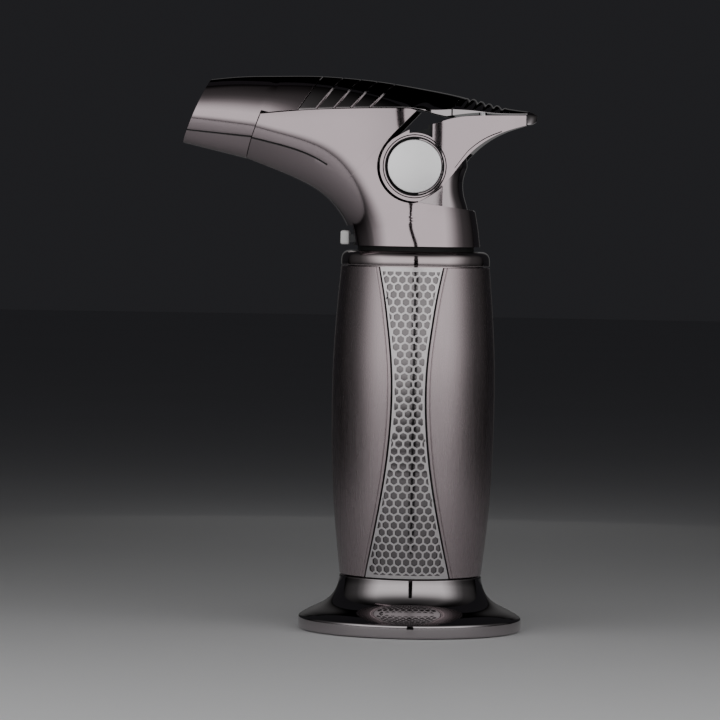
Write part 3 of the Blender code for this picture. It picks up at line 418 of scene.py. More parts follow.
def with_painted_shade(bm):
    """The cutter with the second material, a painted shade, for the faces it leaves behind."""
    for face in bm.faces:
        face.material_index = 1
    return bm


def through(points, count):
    """Evenly spaced points on a smooth curve through the given ones."""
    at = knots(points)
    axes = [spline(list(zip(at, values))) for values in zip(*points)]
    return [tuple(axis(t) for axis in axes) for t in spread(0.0, 1.0, count)]


def rod(radius, length, place, bore=0.0, steps=48):
    return lathe([(bore, 0.0), (radius, 0.0), (radius, length), (bore, length)], steps, place)


def block(low, high):
    bm = bmesh.new()
    bmesh.ops.create_cube(bm, size=1.0)
    size = Vector(high) - Vector(low)
    bm.transform(Matrix.Translation((Vector(low) + Vector(high)) / 2) @ Matrix.Diagonal((*size, 1.0)))
    return bm


def arc(centre, radius, first, last, count=6):
    """Points on an arc; angles in degrees, from outwards or +X towards upwards."""
    return [
        (centre[0] + radius * math.cos(math.radians(a)), centre[1] + radius * math.sin(math.radians(a)))
        for a in spread(first, last, count)
    ]


def loft(bm, rings):
    """A closed solid through rings of points, added to the bmesh, with flat ends."""
    loops = [[bm.verts.new(p) for p in ring] for ring in rings]
    count = len(loops[0])
    for a, b in zip(loops, loops[1:]):
        for k in range(count):
            after = (k + 1) % count
            bm.faces.new([a[k], b[k], b[after], a[after]])
    bm.faces.new(loops[0])
    bm.faces.new(list(reversed(loops[-1])))
    return bm


# ---- base, collar, caps, knob
BASE_FLARE = [
    (29.9, 4.25), (28.4, 5.1), (25.6, 6.45), (23.3, 7.8), (21.6, 9.4), (20.55, 11.2), (20.0, 12.9),
    (19.75, 14.6),
]
COLLAR_SHOULDER = [
    (20.6, 102.4), (20.5, 103.3), (20.15, 104.15), (19.5, 104.75), (18.8, 105.0), (18.2, 105.05),
]
SPIGOT = [(17.5, 105.05), (17.4, 104.5), (16.1, 104.5), (16.1, 106.9), (15.0, 106.9)]
ROUND_STEPS = 160


def make_base():
    rim = arc((BASE_R - 0.8, 0.8), 0.8, -90, 0) + arc((BASE_R - 0.9, 3.0), 0.9, 0, 62)
    flare = through(BASE_FLARE, 40)
    top = arc((19.25, 14.65), 0.45, 0, 90)
    inside = [(0.0, 15.1), (0.0, FOOT_H + GAP), (FOOT_R + GAP, FOOT_H + GAP), (FOOT_R + GAP, 0.0)]
    bm = lathe(rim + flare + top + inside, ROUND_STEPS)
    holes = join(
        rod(5.0, 22.0, Matrix.Translation((VALVE_X, 0, -2.0))),
        lathe([(0.0, -1.0), (3.5, -1.0), (3.5, 4.0), (1.8, 4.0), (1.8, 18.0), (0.0, 18.0)], 48),
    )
    piece("base", combine(bm, holes, "DIFFERENCE"), "dark_gloss", ROOT, ["base_disc"], 30)


def make_collar():
    """The turned ring over the handle, with a thin skirt behind the grips and a spigot in the neck; the
    spigot and the ring's inner faces are painted near black as shade.
    """
    z0 = HANDLE_Z1 + GAP
    shoulder = arc((20.3, z0 + 0.3), 0.3, -90, 0, 4) + through(COLLAR_SHOULDER, 20)
    inside = [(15.0, COLLAR_FLOOR), (4.4, COLLAR_FLOOR), (4.4, z0)]
    skirt = [(18.75, z0), (18.75, z0 - 1.1), (19.05, z0 - 1.1), (19.05, z0)]
    bm = lathe(shoulder + SPIGOT + inside + skirt, ROUND_STEPS)
    # painted shade: the ring's inner faces and the spigot take the near-black second material, so the gap
    # under the neck reads as shadow
    for face in bm.faces:
        middle = face.calc_center_median()
        if math.hypot(middle.x, middle.y) < 17.6 and middle.z > COLLAR_FLOOR:
            face.material_index = 1
    piece("collar", bm, ["collar", "dark"], ROOT, ["collar_ring"], 30)


def make_caps():
    edge = arc((CAP_R - 0.35, 1.07), 0.35, 0, 90)
    profile = [(0.0, 0.0), (CAP_R - 0.3, 0.0), (CAP_R, 0.3)] + edge + [(0.0, 1.42)]
    for name, side in (("front", -1), ("back", 1)):
        place = axis_frame((PIVOT[0], side * 11.8, PIVOT[1]), (0, side, 0))
        bm = lathe(profile, 128, place)
        piece(f"cap_{name}", bm, "silver", TRIGGER, [f"pivot_cap_{name}"], 50)


def curved_plate(outside, bore, half_angle, low, high):
    """A plate bent round the handle's axis, centred on the side that faces -X."""
    turns = [math.radians(a) for a in spread(180 - half_angle, 180 + half_angle, 60)]

    def skin(r):
        return [[(r * math.cos(a), r * math.sin(a), z) for a in turns] for z in (low, high)]

    return grid_shell(skin(outside), skin(bore))


def make_knob():
    """The ribbed knob, the curved shutter behind it that keeps its slot closed, and lips along the slot's
    edges; shutter and lips are painted near black as the slot's shade.
    """
    bm = block((-20.9, -2.0, 106.6), (-18.4, 2.0, 110.5))
    bmesh.ops.bevel(bm, geom=list(bm.edges), offset=0.6, segments=5, profile=0.5, affect="EDGES")
    ribs = [block((-21.5, y - 0.12, 107.5), (-20.72, y + 0.12, 109.6)) for y in (-0.9, -0.3, 0.3, 0.9)]
    bm = combine(bm, join(*ribs), "DIFFERENCE")
    piece("flame_knob", bm, "knob", ADJUSTER, ["adjuster_knob"], 40)
    # painted shade: the shutter and the lips take the near-black material that stands in for the slot's
    # shadow
    piece("slot_shutter", curved_plate(16.1, 15.9, 43.0, 107.0, 112.2), "dark", ADJUSTER)
    lips = join(curved_plate(17.5, 16.9, 24.6, 106.5, 107.1), curved_plate(17.5, 16.9, 24.6, 109.5, 111.8))
    piece("slot_liner", lips, "dark", ROOT)


# ---- handle
def on_handle(z, angle, depth):
    radius = handle_radius(z) - depth
    return (radius * math.sin(angle), -radius * math.cos(angle), z)


def make_grips():
    heights = spread(HANDLE_Z0, HANDLE_Z1, 90)
    line = 0.95  # the fine groove's distance from the panel's edge, and its half width and depth below
    half_line, line_depth = 0.15, 0.25
    for name, middle in (("aft", math.pi / 2), ("fore", -math.pi / 2)):
        outer, inner = [], []
        for z in heights:
            radius = handle_radius(z)
            half = math.pi / 2 - math.radians(panel_half_angle(z))
            marks = [(line - half_line, 0.0), (line, line_depth), (line + half_line, 0.0)]
            near = [(-half + d / radius, depth) for d, depth in [(0.0, 0.0), (0.4, 0.0), *marks]]
            far = [(-a, depth) for a, depth in reversed(near)]
            mid = [(a, 0.0) for a in spread(near[-1][0], far[0][0], 42)[1:-1]]
            row = near + mid + far
            outer.append([on_handle(z, middle + a, depth) for a, depth in row])
            inner.append([on_handle(z, middle + a, SKIN) for a, _ in row])
        bm = grid_shell(outer, inner)
        piece(f"grip_{name}_shell", bm, "satin", ROOT, [f"grip_{name}"], 50, 0.28)


CELL_PITCH, ROW_PITCH = 2.4, 2.035
CELL_CORNER, CELL_FLAT = 1.05, 0.92  # from the cell's middle to a softened corner and to a flat
ROW_TOP, ROW_COUNT = 99.3, 42
BORDER_TOP, BORDER_BOTTOM, BORDER_SIDE = 1.2, 0.9, 0.55
# (share of the outline, depth) of a cell's two inner rings, and its middle's depth
PIT_RINGS, PIT_DEPTH = ((0.94, 0.30), (0.55, 0.29)), 0.28
PANEL_R = 21.8
PANEL_SEAM = math.radians(1.4)


def cell_outline(u, z):
    """A pointed-top hexagon with softened corners, 12 points."""
    points = []
    for k in range(12):
        a = math.radians(30 * k)
        r = CELL_CORNER if k % 2 else CELL_FLAT
        points.append((u + r * math.cos(a), z + r * math.sin(a)))
    return points


def polygon_area(points):
    pairs = zip(points, points[1:] + points[:1])
    return sum(a[0] * b[1] - b[0] * a[1] for a, b in pairs) / 2


def trimmed(outline, edge_at):
    """The cell's outline held inside the panel's border."""
    kept = []
    for u, z in outline:
        z = min(max(z, HANDLE_Z0 + BORDER_BOTTOM), HANDLE_Z1 - BORDER_TOP)
        limit = edge_at(z) - BORDER_SIDE
        point = (min(max(u, -limit), limit), z)
        if not kept or math.dist(point, kept[-1]) > 0.03:
            kept.append(point)
    if math.dist(kept[0], kept[-1]) < 0.03:
        kept.pop()
    return kept


def panel_cells(edge_at):
    smallest = 0.22 * polygon_area(cell_outline(0, 0))
    cells = []
    for row in range(ROW_COUNT):
        shift = 0.0 if row % 2 else CELL_PITCH / 2
        for column in range(-8, 9):
            outline = trimmed(cell_outline(column * CELL_PITCH + shift, ROW_TOP - row * ROW_PITCH), edge_at)
            if len(outline) > 3 and polygon_area(outline) > smallest:
                cells.append(outline)
    return cells


def panel_rim(edge_at, heights, across):
    """The panel's outline, once round."""
    rim = [(t * edge_at(heights[0]), heights[0]) for t in across]
    rim += [(edge_at(z), z) for z in heights[1:]]
    rim += [(t * edge_at(heights[-1]), heights[-1]) for t in reversed(across[:-1])]
    return rim + [(-edge_at(z), z) for z in reversed(heights[1:-1])]


def sink_cell(bm, place, loop, outline):
    """The wall and the almost flat floor of a cell, in the second material."""
    count = len(outline)
    cu = sum(p[0] for p in outline) / count
    cz = sum(p[1] for p in outline) / count
    low, mid = (
        [place(cu + (u - cu) * share, cz + (z - cz) * share, depth) for u, z in outline]
        for share, depth in PIT_RINGS
    )
    centre = place(cu, cz, PIT_DEPTH)
    for k in range(count):
        after = (k + 1) % count
        faces = [[a[k], a[after], b[after], b[k]] for a, b in ((loop, low), (low, mid))]
        for corners in [*faces, [mid[k], mid[after], centre]]:
            bm.faces.new(corners).material_index = 1


def make_lattice(name, turn):
    def edge_at(z):
        return (math.radians(panel_half_angle(z)) - PANEL_SEAM) * PANEL_R

    heights = spread(HANDLE_Z0, HANDLE_Z1, 100)
    across = spread(-1.0, 1.0, 21)
    rim = panel_rim(edge_at, heights, across)
    cells = panel_cells(edge_at)
    points, faces = list(rim), [list(range(len(rim)))]
    for outline in cells:
        first = len(points)
        points += outline
        faces.append(list(range(first, first + len(outline))))
    found = delaunay_2d_cdt([Vector(p) for p in points], [], faces, 1, 1e-5, True)
    spots, _, triangles, vertex_from, _, face_from = found
    bm = bmesh.new()

    def place(u, z, depth):
        return bm.verts.new(on_handle(z, turn + u / PANEL_R, depth))

    top = [place(p.x, p.y, 0.0) for p in spots]
    where = {source: index for index, sources in enumerate(vertex_from) for source in sources}
    for triangle, sources in zip(triangles, face_from):
        if sources and max(sources) == 0:
            bm.faces.new([top[i] for i in triangle])
    first = len(rim)
    for outline in cells:
        loop = [top[where[first + k]] for k in range(len(outline))]
        first += len(outline)
        sink_cell(bm, place, loop, outline)
    rows = [[place(t * edge_at(z), z, SKIN) for t in across] for z in heights]
    for a, b in zip(rows, rows[1:]):
        for k in range(len(a) - 1):
            bm.faces.new([a[k], b[k], b[k + 1], a[k + 1]])
    inner_rim = rows[0] + [row[-1] for row in rows[1:]] + list(reversed(rows[-1][:-1]))
    inner_rim += [row[0] for row in reversed(rows[1:-1])]
    outer_rim = [top[where[k]] for k in range(len(rim))]
    for k in range(len(rim)):
        after = (k + 1) % len(rim)
        bm.faces.new([outer_rim[k], outer_rim[after], inner_rim[after], inner_rim[k]])
    piece(f"lattice_{name}", bm, ["lattice", "cell"], ROOT, [f"honeycomb_{name}"], 40)


# ---- head housings
def fit_throat():
    at = knots(THROAT)
    columns = {
        "x": [p[0] for p in THROAT],
        "z": [p[1] for p in THROAT],
        "angle": SECTION_ANGLE,
        "round": SECTION_ROUND,
        "wide": SECTION_WIDTH,
        "far": SECTION_FAR,
        "crease": CREASE_DEPTH,
        "share": CREASE_SHARE,
    }
    return {name: spline(list(zip(at, values))) for name, values in columns.items()}


THROAT_FITS = fit_throat()


def throat_section(t):
    value = {name: fit(t) for name, fit in THROAT_FITS.items()}
    value["blend"] = min(1.5, 9.0 * (1.0 - t))
    angle = math.radians(value["angle"])
    foot = Vector((value["x"], 0.0, value["z"]))
    return foot, Vector((math.cos(angle), 0.0, math.sin(angle))), value


def neck_radius(z):
    return table(NECK_BACK_R, z)


def round_back(half, point, blend, inset):
    """The half width kept inside the neck's round back, with a soft blend where the two meet."""
    if point.x <= 0:
        return half
    limit = math.sqrt(max(0.0, (neck_radius(point.z) - inset) ** 2 - point.x**2))
    blend = max(0.01, min(blend, 0.25 * point.x))
    near = max(0.0, blend - abs(half - limit)) / blend
    return min(half, limit) - near**2 * blend / 4


def section_width(value, s, inset):
    """Half width of the head at depth s from the throat, for the skin this far inside the outer one."""
    depth, wide, far = value["round"] - inset, value["wide"] - inset, value["far"] - inset
    d = s - inset
    if d < depth:
        half = wide * math.sqrt(max(0.0, 1 - (1 - d / depth) ** 2))
    else:
        half = wide * math.sqrt(max(0.0, 1 - ((d - depth) / far) ** 2))
    crease = value["crease"]
    share = min(1.0, max(0.0, value["share"]))
    if s < crease and share > 0:
        edge = wide * math.sqrt(1 - (1 - (crease - inset) / depth) ** 2)
        flat = edge * (max(0.0, d) / (crease - inset)) ** 0.62
        half += share * (flat - half)
    return half


def pocket_outline():
    rise = [
        (-1.4, 150.0), (-1.4, 144.2), (2.0, 143.2), (1.1, 142.2), (-0.9, 141.0), (-2.7, 139.8),
        (-4.9, 138.4), (-6.9, 136.2),
    ]
    return rise + arc(PIVOT, POCKET_R, 143.0, 272.0, 60) + LEDGE + [(26.0, 150.0)]


def inside(outline, x, z):
    hit = False
    for (x0, z0), (x1, z1) in zip(outline, outline[1:] + outline[:1]):
        if (z0 > z) != (z1 > z) and x < x0 + (z - z0) * (x1 - x0) / (z1 - z0):
            hit = not hit
    return hit


def reach(foot, along, value, pocket):
    """How far a section runs, and whether it closes at the neck's back or is cut by an edge."""
    far = value["round"] + value["far"]

    def is_cut(s):
        point = foot + along * s
        return point.z > housing_top(min(point.x, 2.0)) or inside(pocket, point.x, point.z)

    def beyond(s):
        point = foot + along * s
        return is_cut(s) or point.x >= neck_radius(point.z)

    step = 0.25
    s = step
    while s < far and not beyond(s):
        s += step
    if s >= far:
        return far, True
    low, high = s - step, s
    for _ in range(14):
        middle = (low + high) / 2
        low, high = (low, middle) if beyond(middle) else (middle, high)
    return low, not is_cut(high)


def housing_shares(pocket, count):
    """Throat shares whose sections end at even steps along the housing's edge."""
    fine = spread(0.0, 1.0, 700)
    ends = []
    for t in fine:
        foot, along, value = throat_section(t)
        ends.append(foot + along * reach(foot, along, value, pocket)[0])
    steps = [(b - a).length + 0.12 for a, b in zip(ends, ends[1:])]
    total = np.concatenate([[0.0], np.cumsum(steps)])
    marks = np.linspace(0.0, total[-1], count)
    return [float(np.interp(m, total, fine)) for m in marks]


def head_row(t, inset, pocket, counts):
    foot, along, value = throat_section(t)
    end, closed = reach(foot, along, value, pocket)
    first, last = inset, end - (inset if closed else 0.0)
    crease = value["crease"]
    wide, narrow, depth = CREASE_GROOVE
    fade = min(1.0, max(0.0, 2 * value["share"])) if inset == 0 else 0.0
    turns = [math.pi / 2 * k / counts[0] for k in range(counts[0])]
    below = [(first + (crease - wide - first) * (1 - math.cos(a)), 0.0) for a in turns]
    groove = [(crease + d, deep * fade) for d, deep in ((-wide, 0), (-narrow, depth), (narrow, depth))]
    rounding = min(1.0, max(0.0, (t - 0.6) / 0.2))
    even = spread(0.0, 1.0, counts[1] + 1)
    shares = [share + rounding * (math.sin(math.pi / 2 * share) - share) for share in even]
    above = [(crease + wide + (last - crease - wide) * share, 0.0) for share in shares]
    row = []
    for s, deep in below + groove + above:
        point = foot + along * s
        half = round_back(section_width(value, s, inset), point, value["blend"], inset) - deep
        row.append((point.x, -max(GAP / 2, half), point.z))
    return row


BOSSES = [(-31.0, 129.8), (-13.4, 116.6)]  # x and z of the two screws


def boss_depth(x, z):
    def miss(t):
        foot, along, _ = throat_section(t)
        offset = Vector((x, 0.0, z)) - foot
        return (offset - along * offset.dot(along)).length

    foot, along, value = throat_section(min(spread(0.0, 1.0, 200), key=miss))
    return section_width(value, (Vector((x, 0.0, z)) - foot).dot(along), 0.0) - 0.75 * SHELL


def adjuster_slot():
    outline = [(r, z) for r, z in ((13.0, 106.0), (24.0, 106.0), (24.0, 111.9), (13.0, 111.9))]
    rows = []
    for a in spread(math.radians(155), math.radians(205), 25):
        rows.append([(r * math.cos(a), r * math.sin(a), z) for r, z in outline])
    return loft(bmesh.new(), rows)


HOUSING_ROWS, BELOW_CREASE, ABOVE_CREASE = 150, 12, 26
FAINT_CREASE = 0.12  # share of the crease below which its groove isn't painted dark as shade


def make_housings():
    pocket = pocket_outline()
    shares = housing_shares(pocket, HOUSING_ROWS)
    counts = (BELOW_CREASE, ABOVE_CREASE)
    outer, inner = ([head_row(t, inset, pocket, counts) for t in shares] for inset in (0.0, SHELL))
    fading = [throat_section(t)[2]["share"] for t in shares]

    # painted shade: the crease groove's outer cells, where the crease is marked enough, and the whole inner
    # skin get the near-black second material
    def painted_crease_shade(i, j):
        return BELOW_CREASE <= j < BELOW_CREASE + 3 and fading[i] > FAINT_CREASE

    for name, flip in (("front", 1.0), ("back", -1.0)):
        bm = grid_shell(outer, inner, dark=painted_crease_shade)
        bm.transform(Matrix.Diagonal((1.0, flip, 1.0, 1.0)))
        tools = [adjuster_slot()]
        if name == "back":
            for x, z in BOSSES:
                back = boss_depth(x, z)
                tools.append(rod(2.0, 8.0, axis_frame((x, back - 1.0, z), (0, 1, 0)), steps=32))
        bm = combine(bm, join(*tools), "DIFFERENCE")
        skins = ["gunmetal", "dark"]
        piece(f"housing_{name}_shell", bm, skins, ROOT, [f"housing_{name}"], 40, 0.22)


# ---- nozzle and spine
def arch(low, top, half, angles, limit, inset):
    low, top = Vector(low), Vector(top)
    crown = top - (top - low).normalized() * inset
    base = 1 - math.cos(limit)
    points = []
    for a in angles:
        point = low + (crown - low) * ((math.cos(a) - math.cos(limit)) / base)
        point.y = -(half - inset) * math.sin(a) / math.sin(limit)
        points.append(tuple(point))
    return points


def nozzle_angles(limit, crease, belly):
    """Angles of a ring below its arch, each with the depth of the fine groove along the crease."""
    wide, narrow, depth = (v / 10.0 for v in CREASE_GROOVE)
    side = [(limit + (crease - wide - limit) * k / belly[0], 0.0) for k in range(1, belly[0] + 1)]
    groove = [(crease - narrow, 10 * depth), (crease + narrow, 10 * depth), (crease + wide, 0.0)]
    down = side + groove
    gap = 2 * (math.pi - crease - wide)
    floor = [(crease + wide + gap * k / belly[1], 0.0) for k in range(1, belly[1])]
    return down + floor + [(2 * math.pi - a, deep) for a, deep in reversed(down)]


def nozzle_row(u, inset, arch_angles, belly):
    """A full ring at share u from the mouth to the seam; belly holds the counts for sides and floor."""
    floor_x = NOZZLE_FLOOR[0][0] + (NOZZLE_FLOOR[1][0] - NOZZLE_FLOOR[0][0]) * u
    floor_z = NOZZLE_FLOOR[0][1] + (NOZZLE_FLOOR[1][1] - NOZZLE_FLOOR[0][1]) * u
    top_x = NOZZLE_RIDGE_X[0] + (NOZZLE_RIDGE_X[1] - NOZZLE_RIDGE_X[0]) * u
    floor, top = Vector((floor_x, 0, floor_z)), Vector((top_x, 0, ridge(top_x)))
    centre, up = (floor + top) / 2, (top - floor) / 2
    half = NOZZLE_HALF_WIDTH[0] + (NOZZLE_HALF_WIDTH[1] - NOZZLE_HALF_WIDTH[0]) * u
    crease = math.radians(127 - 8 * u)
    shrink = 1 - inset / up.length
    points = []
    for a, deep in [(a, 0.0) for a in arch_angles] + nozzle_angles(arch_angles[-1], crease, belly):
        side = math.sin(a)
        over = abs(a) if abs(a) <= math.pi else 2 * math.pi - abs(a)
        if over > crease:
            share = (math.pi - over) / (math.pi - crease)
            side = math.copysign(math.sin(crease) * share**0.75, side)
        point = centre + up * (math.cos(a) * shrink)
        point.y = -(half - (inset or deep)) * side
        points.append(tuple(point))
    return points


def make_nozzle():
    limit = math.radians(ARCH_HALF_ANGLE)
    arch_angles = spread(-limit, limit, 61)
    belly = (14, 20)
    rows_u = spread(0.0, 1.0, 16)
    outer = [nozzle_row(u, 0.0, arch_angles, belly) for u in rows_u]
    inner = [nozzle_row(u, SHELL, arch_angles, belly) for u in rows_u]
    steps = 14
    for k in range(1, steps + 1):
        share = k / steps
        low = Vector((-41.2 + (-32.6 + 41.2) * share, 0.0, 0.0))
        low.z = housing_top(low.x) + GAP
        top_x = NOZZLE_RIDGE_X[1] + (-26.6 - NOZZLE_RIDGE_X[1]) * share
        top = Vector((top_x, 0.0, ridge(top_x)))
        half = NOZZLE_HALF_WIDTH[1] * math.sin(limit) + 0.3 * share
        edge = limit + (math.radians(SEAM_HALF_ANGLE) - limit) * share
        angles = spread(-edge, edge, len(arch_angles))
        padding = [(0.0, 0.0, 0.0)] * (len(outer[0]) - len(arch_angles))
        outer.append(arch(low, top, half, angles, edge, 0.0) + padding)
        inner.append(arch(low, top, half, angles, edge, SHELL) + padding)
    ring_rows = len(rows_u) - 1

    def keep(i, j):
        return i < ring_rows or j < len(arch_angles) - 1

    first = len(arch_angles) + belly[0] - 1
    last = len(outer[0]) - belly[0] - 4

    # painted shade: the groove along each crease and the inner skin get the near-black second material
    def painted_crease_shade(_i, j):
        return first <= j < first + 3 or last <= j < last + 3

    bm = grid_shell(outer, inner, keep, around=True, dark=painted_crease_shade)
    piece("nozzle_shell", bm, ["gunmetal", "dark"], ROOT, ["nozzle_shroud"], 40, 0.25)


GROOVE_EDGE, GROOVE_FLOOR = 0.45, 0.33  # half widths of a slanted groove at the skin and at its bottom
GROOVE_SIDE, GROOVE_LEAN, GROOVE_TOP = 2.8, 0.27, 0.5  # depth at its foot, its floor's slope, notch on top
SPINE_LEAN = [
    (-32.3, 6.0), (GROOVES[0], 6.6), (GROOVES[-1], 6.1), (-7.0, 6.0), (-1.0, 5.2), (4.5, 4.1), (9.8, 2.4),
]


def lipped_arch(low, top, half, edge, inset, sides=61):
    """An arch over the head with an upright lip below each low edge."""
    row = arch(low, top, half, spread(-edge, edge, sides), edge, inset)
    ends = [(x, y, z - table(LIP, low[0])) for x, y, z in (row[0], row[-1])]
    return [ends[0], *row, ends[1]]


def grooved(row, half):
    """The arch pressed in to the steep floor of a groove on both sides, and notched at its ridge."""
    low, top = row[0][2], max(p[2] for p in row)
    pressed = []
    for x, y, z in row:
        floor = half - GROOVE_SIDE - (z - low) * GROOVE_LEAN
        notch = max(0.0, (z - low) / (top - low) - 0.7) / 0.3
        pressed.append((x, math.copysign(min(abs(y), max(0.0, floor)), y), z - GROOVE_TOP * notch))
    return pressed


def spine_stations():
    """(x at the low edge, x of the nearest groove or None, whether it is on the groove's floor)."""
    plain = [(x, None, False) for x in spread(-32.3, 9.8, 60) if min(abs(x - g) for g in GROOVES) > 0.6]
    edges = [(g + d, g, False) for g in GROOVES for d in (-GROOVE_EDGE, GROOVE_EDGE)]
    floors = [(g + d, g, True) for g in GROOVES for d in (-GROOVE_FLOOR, GROOVE_FLOOR)]
    return sorted(plain + edges + floors, key=lambda station: station[0])


def make_spine():
    low_z, half, limit = spline(SPINE_LOW), spline(SPINE_HALF), spline(SPINE_LIMIT)
    outer, inner = [], []
    for x, middle, on_floor in spine_stations():
        top_x = x + table(SPINE_LEAN, x)
        if middle is not None:
            top_x -= 0.5 * (x - middle)
        low, top = (x, 0.0, low_z(x)), (top_x, 0.0, ridge(top_x))
        edge = math.radians(limit(x))
        thick = 2.6 if middle is not None else 0.7
        inner.append(lipped_arch(low, top, half(x) - thick, edge, SHELL))
        row = lipped_arch(low, top, half(x), edge, 0.0)
        outer.append(grooved(row, half(x)) if on_floor else row)
    # painted shade: only the inner skin gets the near-black second material
    bm = grid_shell(outer, inner, dark=nowhere)
    piece("spine_shell", bm, ["dark_gloss", "dark"], ROOT, ["spine_cover"], 40, 0.1)


# ---- thumb lever
def lever_edges(x):
    cx, cz = PIVOT
    rim = math.sqrt(max(0.0, HUB_R**2 - (x - cx) ** 2)) if x < HUB_R else 0.0
    low = cz - rim if x < LEVER_FLOOR[0][0] else lever_floor(x)
    high = cz + rim if x < LEVER_TOP[0][0] else lever_top(x)
    return low, high


def lever_ring(x, inset, sides):
    low, high = lever_edges(x)
    wide = lever_half_width(x) - inset
    low, high = low + inset, high - inset
    if inset and x < 15.2:
        low = low - inset
    heights = spread(low, max(low + 0.2, high), sides)
    return [(x, -wide, z) for z in heights] + [(x, wide, z) for z in reversed(heights)]


LEVER_WALL = 1.6
BEAD = [(10.5, 0.9), (12.4, 0.9), (14.6, 1.1), (19.1, 0.67), (22.5, 0.25), (24.0, 0.2)]  # x, width
RECESS = (-1.6, 4.8, 9.2, 1.1)  # first and last x, radius of its lower edge, depth
# (inner and outer radius, depth) of the rings round the cap; they must not touch each other
MOATS = [(7.0, 8.2, 0.7), (8.5, 8.8, 0.3)]


def cheek_band(xs, low_at, high_at, depth):
    """A cutter that follows both cheeks of the lever between two curves, this deep."""
    bm = bmesh.new()
    for side in (-1, 1):
        rings = []
        for x in xs:
            floor, low, high = lever_half_width(x) - depth, low_at(x), high_at(x)
            ring = [(side * 14.0, low), (side * 14.0, high), (side * floor, high), (side * floor, low)]
            rings.append([(x, y, z) for y, z in ring])
        loft(bm, rings)
    return bm


def recess_low(x):
    return PIVOT[1] + math.sqrt(RECESS[2] ** 2 - (x - PIVOT[0]) ** 2)


def bead_top(x):
    """Upper edge of the bright bead along the lever's lower edge."""
    return lever_floor(x) + table(BEAD, x)


def lever_cutters():
    rings = []
    for side in (-1, 1):
        for bore, radius, depth in MOATS:
            place = axis_frame((PIVOT[0], side * (12.3 - depth), PIVOT[1]), (0, side, 0))
            rings.append(rod(radius, 2.0, place, bore, 128))
    recess = cheek_band(spread(RECESS[0], RECESS[1], 16), recess_low, lambda x: lever_top(x) + 0.8, RECESS[3])
    # the fine line above the bead, whose faces get painted shade
    line = cheek_band(spread(11.0, 23.6, 40), bead_top, lambda x: bead_top(x) + 0.3, 0.3)
    return [join(*rings), recess, line]


def make_lever():
    hub = [PIVOT[0] - HUB_R * math.cos(math.radians(a)) for a in spread(7, 90, 22)]
    stations = hub + spread(0.5, 30.1, 60)
    sides = 12
    outer = [lever_ring(x, 0.0, sides) for x in stations]
    inner = [lever_ring(x, LEVER_WALL, sides) for x in stations]
    top_from = next(i for i, x in enumerate(stations) if x > 3.3)
    floor_from = next(i for i, x in enumerate(stations) if x > 15.0)

    def keep(i, j):
        if j == sides - 1:
            return i >= top_from
        if j == 2 * sides - 1:
            return i >= floor_from
        return True

    # painted shade: the inner skin and the faces left by the cap's hole, the moats, the cheek recess and the
    # line above the bead get the near-black second material
    bm = grid_shell(outer, inner, keep, around=True, dark=nowhere)
    hole = rod(CAP_R + GAP, 40.0, axis_frame((PIVOT[0], -20.0, PIVOT[1]), (0, 1, 0)), steps=128)
    for tool in [hole, *lever_cutters()]:
        bm = combine(bm, with_painted_shade(tool), "DIFFERENCE")
    piece("lever_shell", bm, ["gunmetal", "dark"], TRIGGER, ["trigger_lever"], 40, 0.15)


RIBS = (11.6, 24.6, 2.6)  # first and last x of the ribbed stretch, and the pitch


def rib_lift(x, angle):
    """How far the ribs raise or lower the thumb rest's skin here; they fade towards its sides."""
    if not RIBS[0] < x < RIBS[1]:
        return 0.0
    notch = 0.5 - 0.5 * math.cos(2 * math.pi * (x - RIBS[0]) / RIBS[2])
    ends = min(1.0, (x - RIBS[0]) / 1.0, (RIBS[1] - x) / 1.0)
    return (0.3 * ends - 0.75 * notch**2) * max(0.0, math.cos(angle * 1.9)) ** 0.7


def make_thumb_rest():
    low_line = spline(THUMB_LOW)
    stations = spread(10.2, 30.4, 110) + [30.5, 30.8, 31.2, 31.6, 32.0, 32.35, 32.65, 32.85, 33.0]
    edge = math.radians(52.0)
    angles = spread(-edge, edge, 41)
    rows = []
    for x in stations:
        tip = max(0.0, (x - 30.9) / 2.1)
        half = lever_half_width(x) * math.sqrt(max(0.02, 1 - tip**2))
        lean = max(0.0, 2.0 * (1 - (x - 10.2) / 12.0))
        top = ridge(min(x + lean, 31.6)) - 1.0 * tip**2
        low = low_line(x) if x < 30.45 else 140.6 + 0.9 * tip**2
        row = lipped_arch((x, 0.0, low), (x + lean, 0.0, top), half, edge, 0.0, len(angles))
        shaped = [(px, py, pz + rib_lift(x, a)) for (px, py, pz), a in zip(row[1:-1], angles)]
        rows.append([row[0], *shaped, row[-1]])
    bm = loft(bmesh.new(), rows)
    piece("thumb_shell", bm, "dark_gloss", TRIGGER, ["thumb_rest"], 45, 0.08)


# ---- mechanism frame
def frame_back_x(z):
    if z <= PIVOT[1]:
        return frame_back(z)
    return PIVOT[0] + math.sqrt(FRAME_GUARD_R**2 - (z - PIVOT[1]) ** 2)


def frame_row(z, inset):
    """A U-shaped section, open to the front, with a fine upright groove where its sides start to turn."""
    wide, back = FRAME_Y - inset, frame_back_x(z) - inset
    bend = 7.6 - inset * 0.3
    groove = 0.0 if inset else 0.3
    curve = [math.radians(a) for a in spread(0, 90, 24)]
    half = [(bend + (back - bend) * math.sin(a), -wide * math.cos(a), z) for a in curve]
    side = [(x, -wide, z) for x in (-9.0, -4.0, 1.0, 4.0, bend - 0.4)]
    side += [(x, -(wide - groove), z) for x in (bend - 0.3, bend - 0.1)]
    front = side + half
    return front + [(x, -y, z) for x, y, z in reversed(front[:-1])]


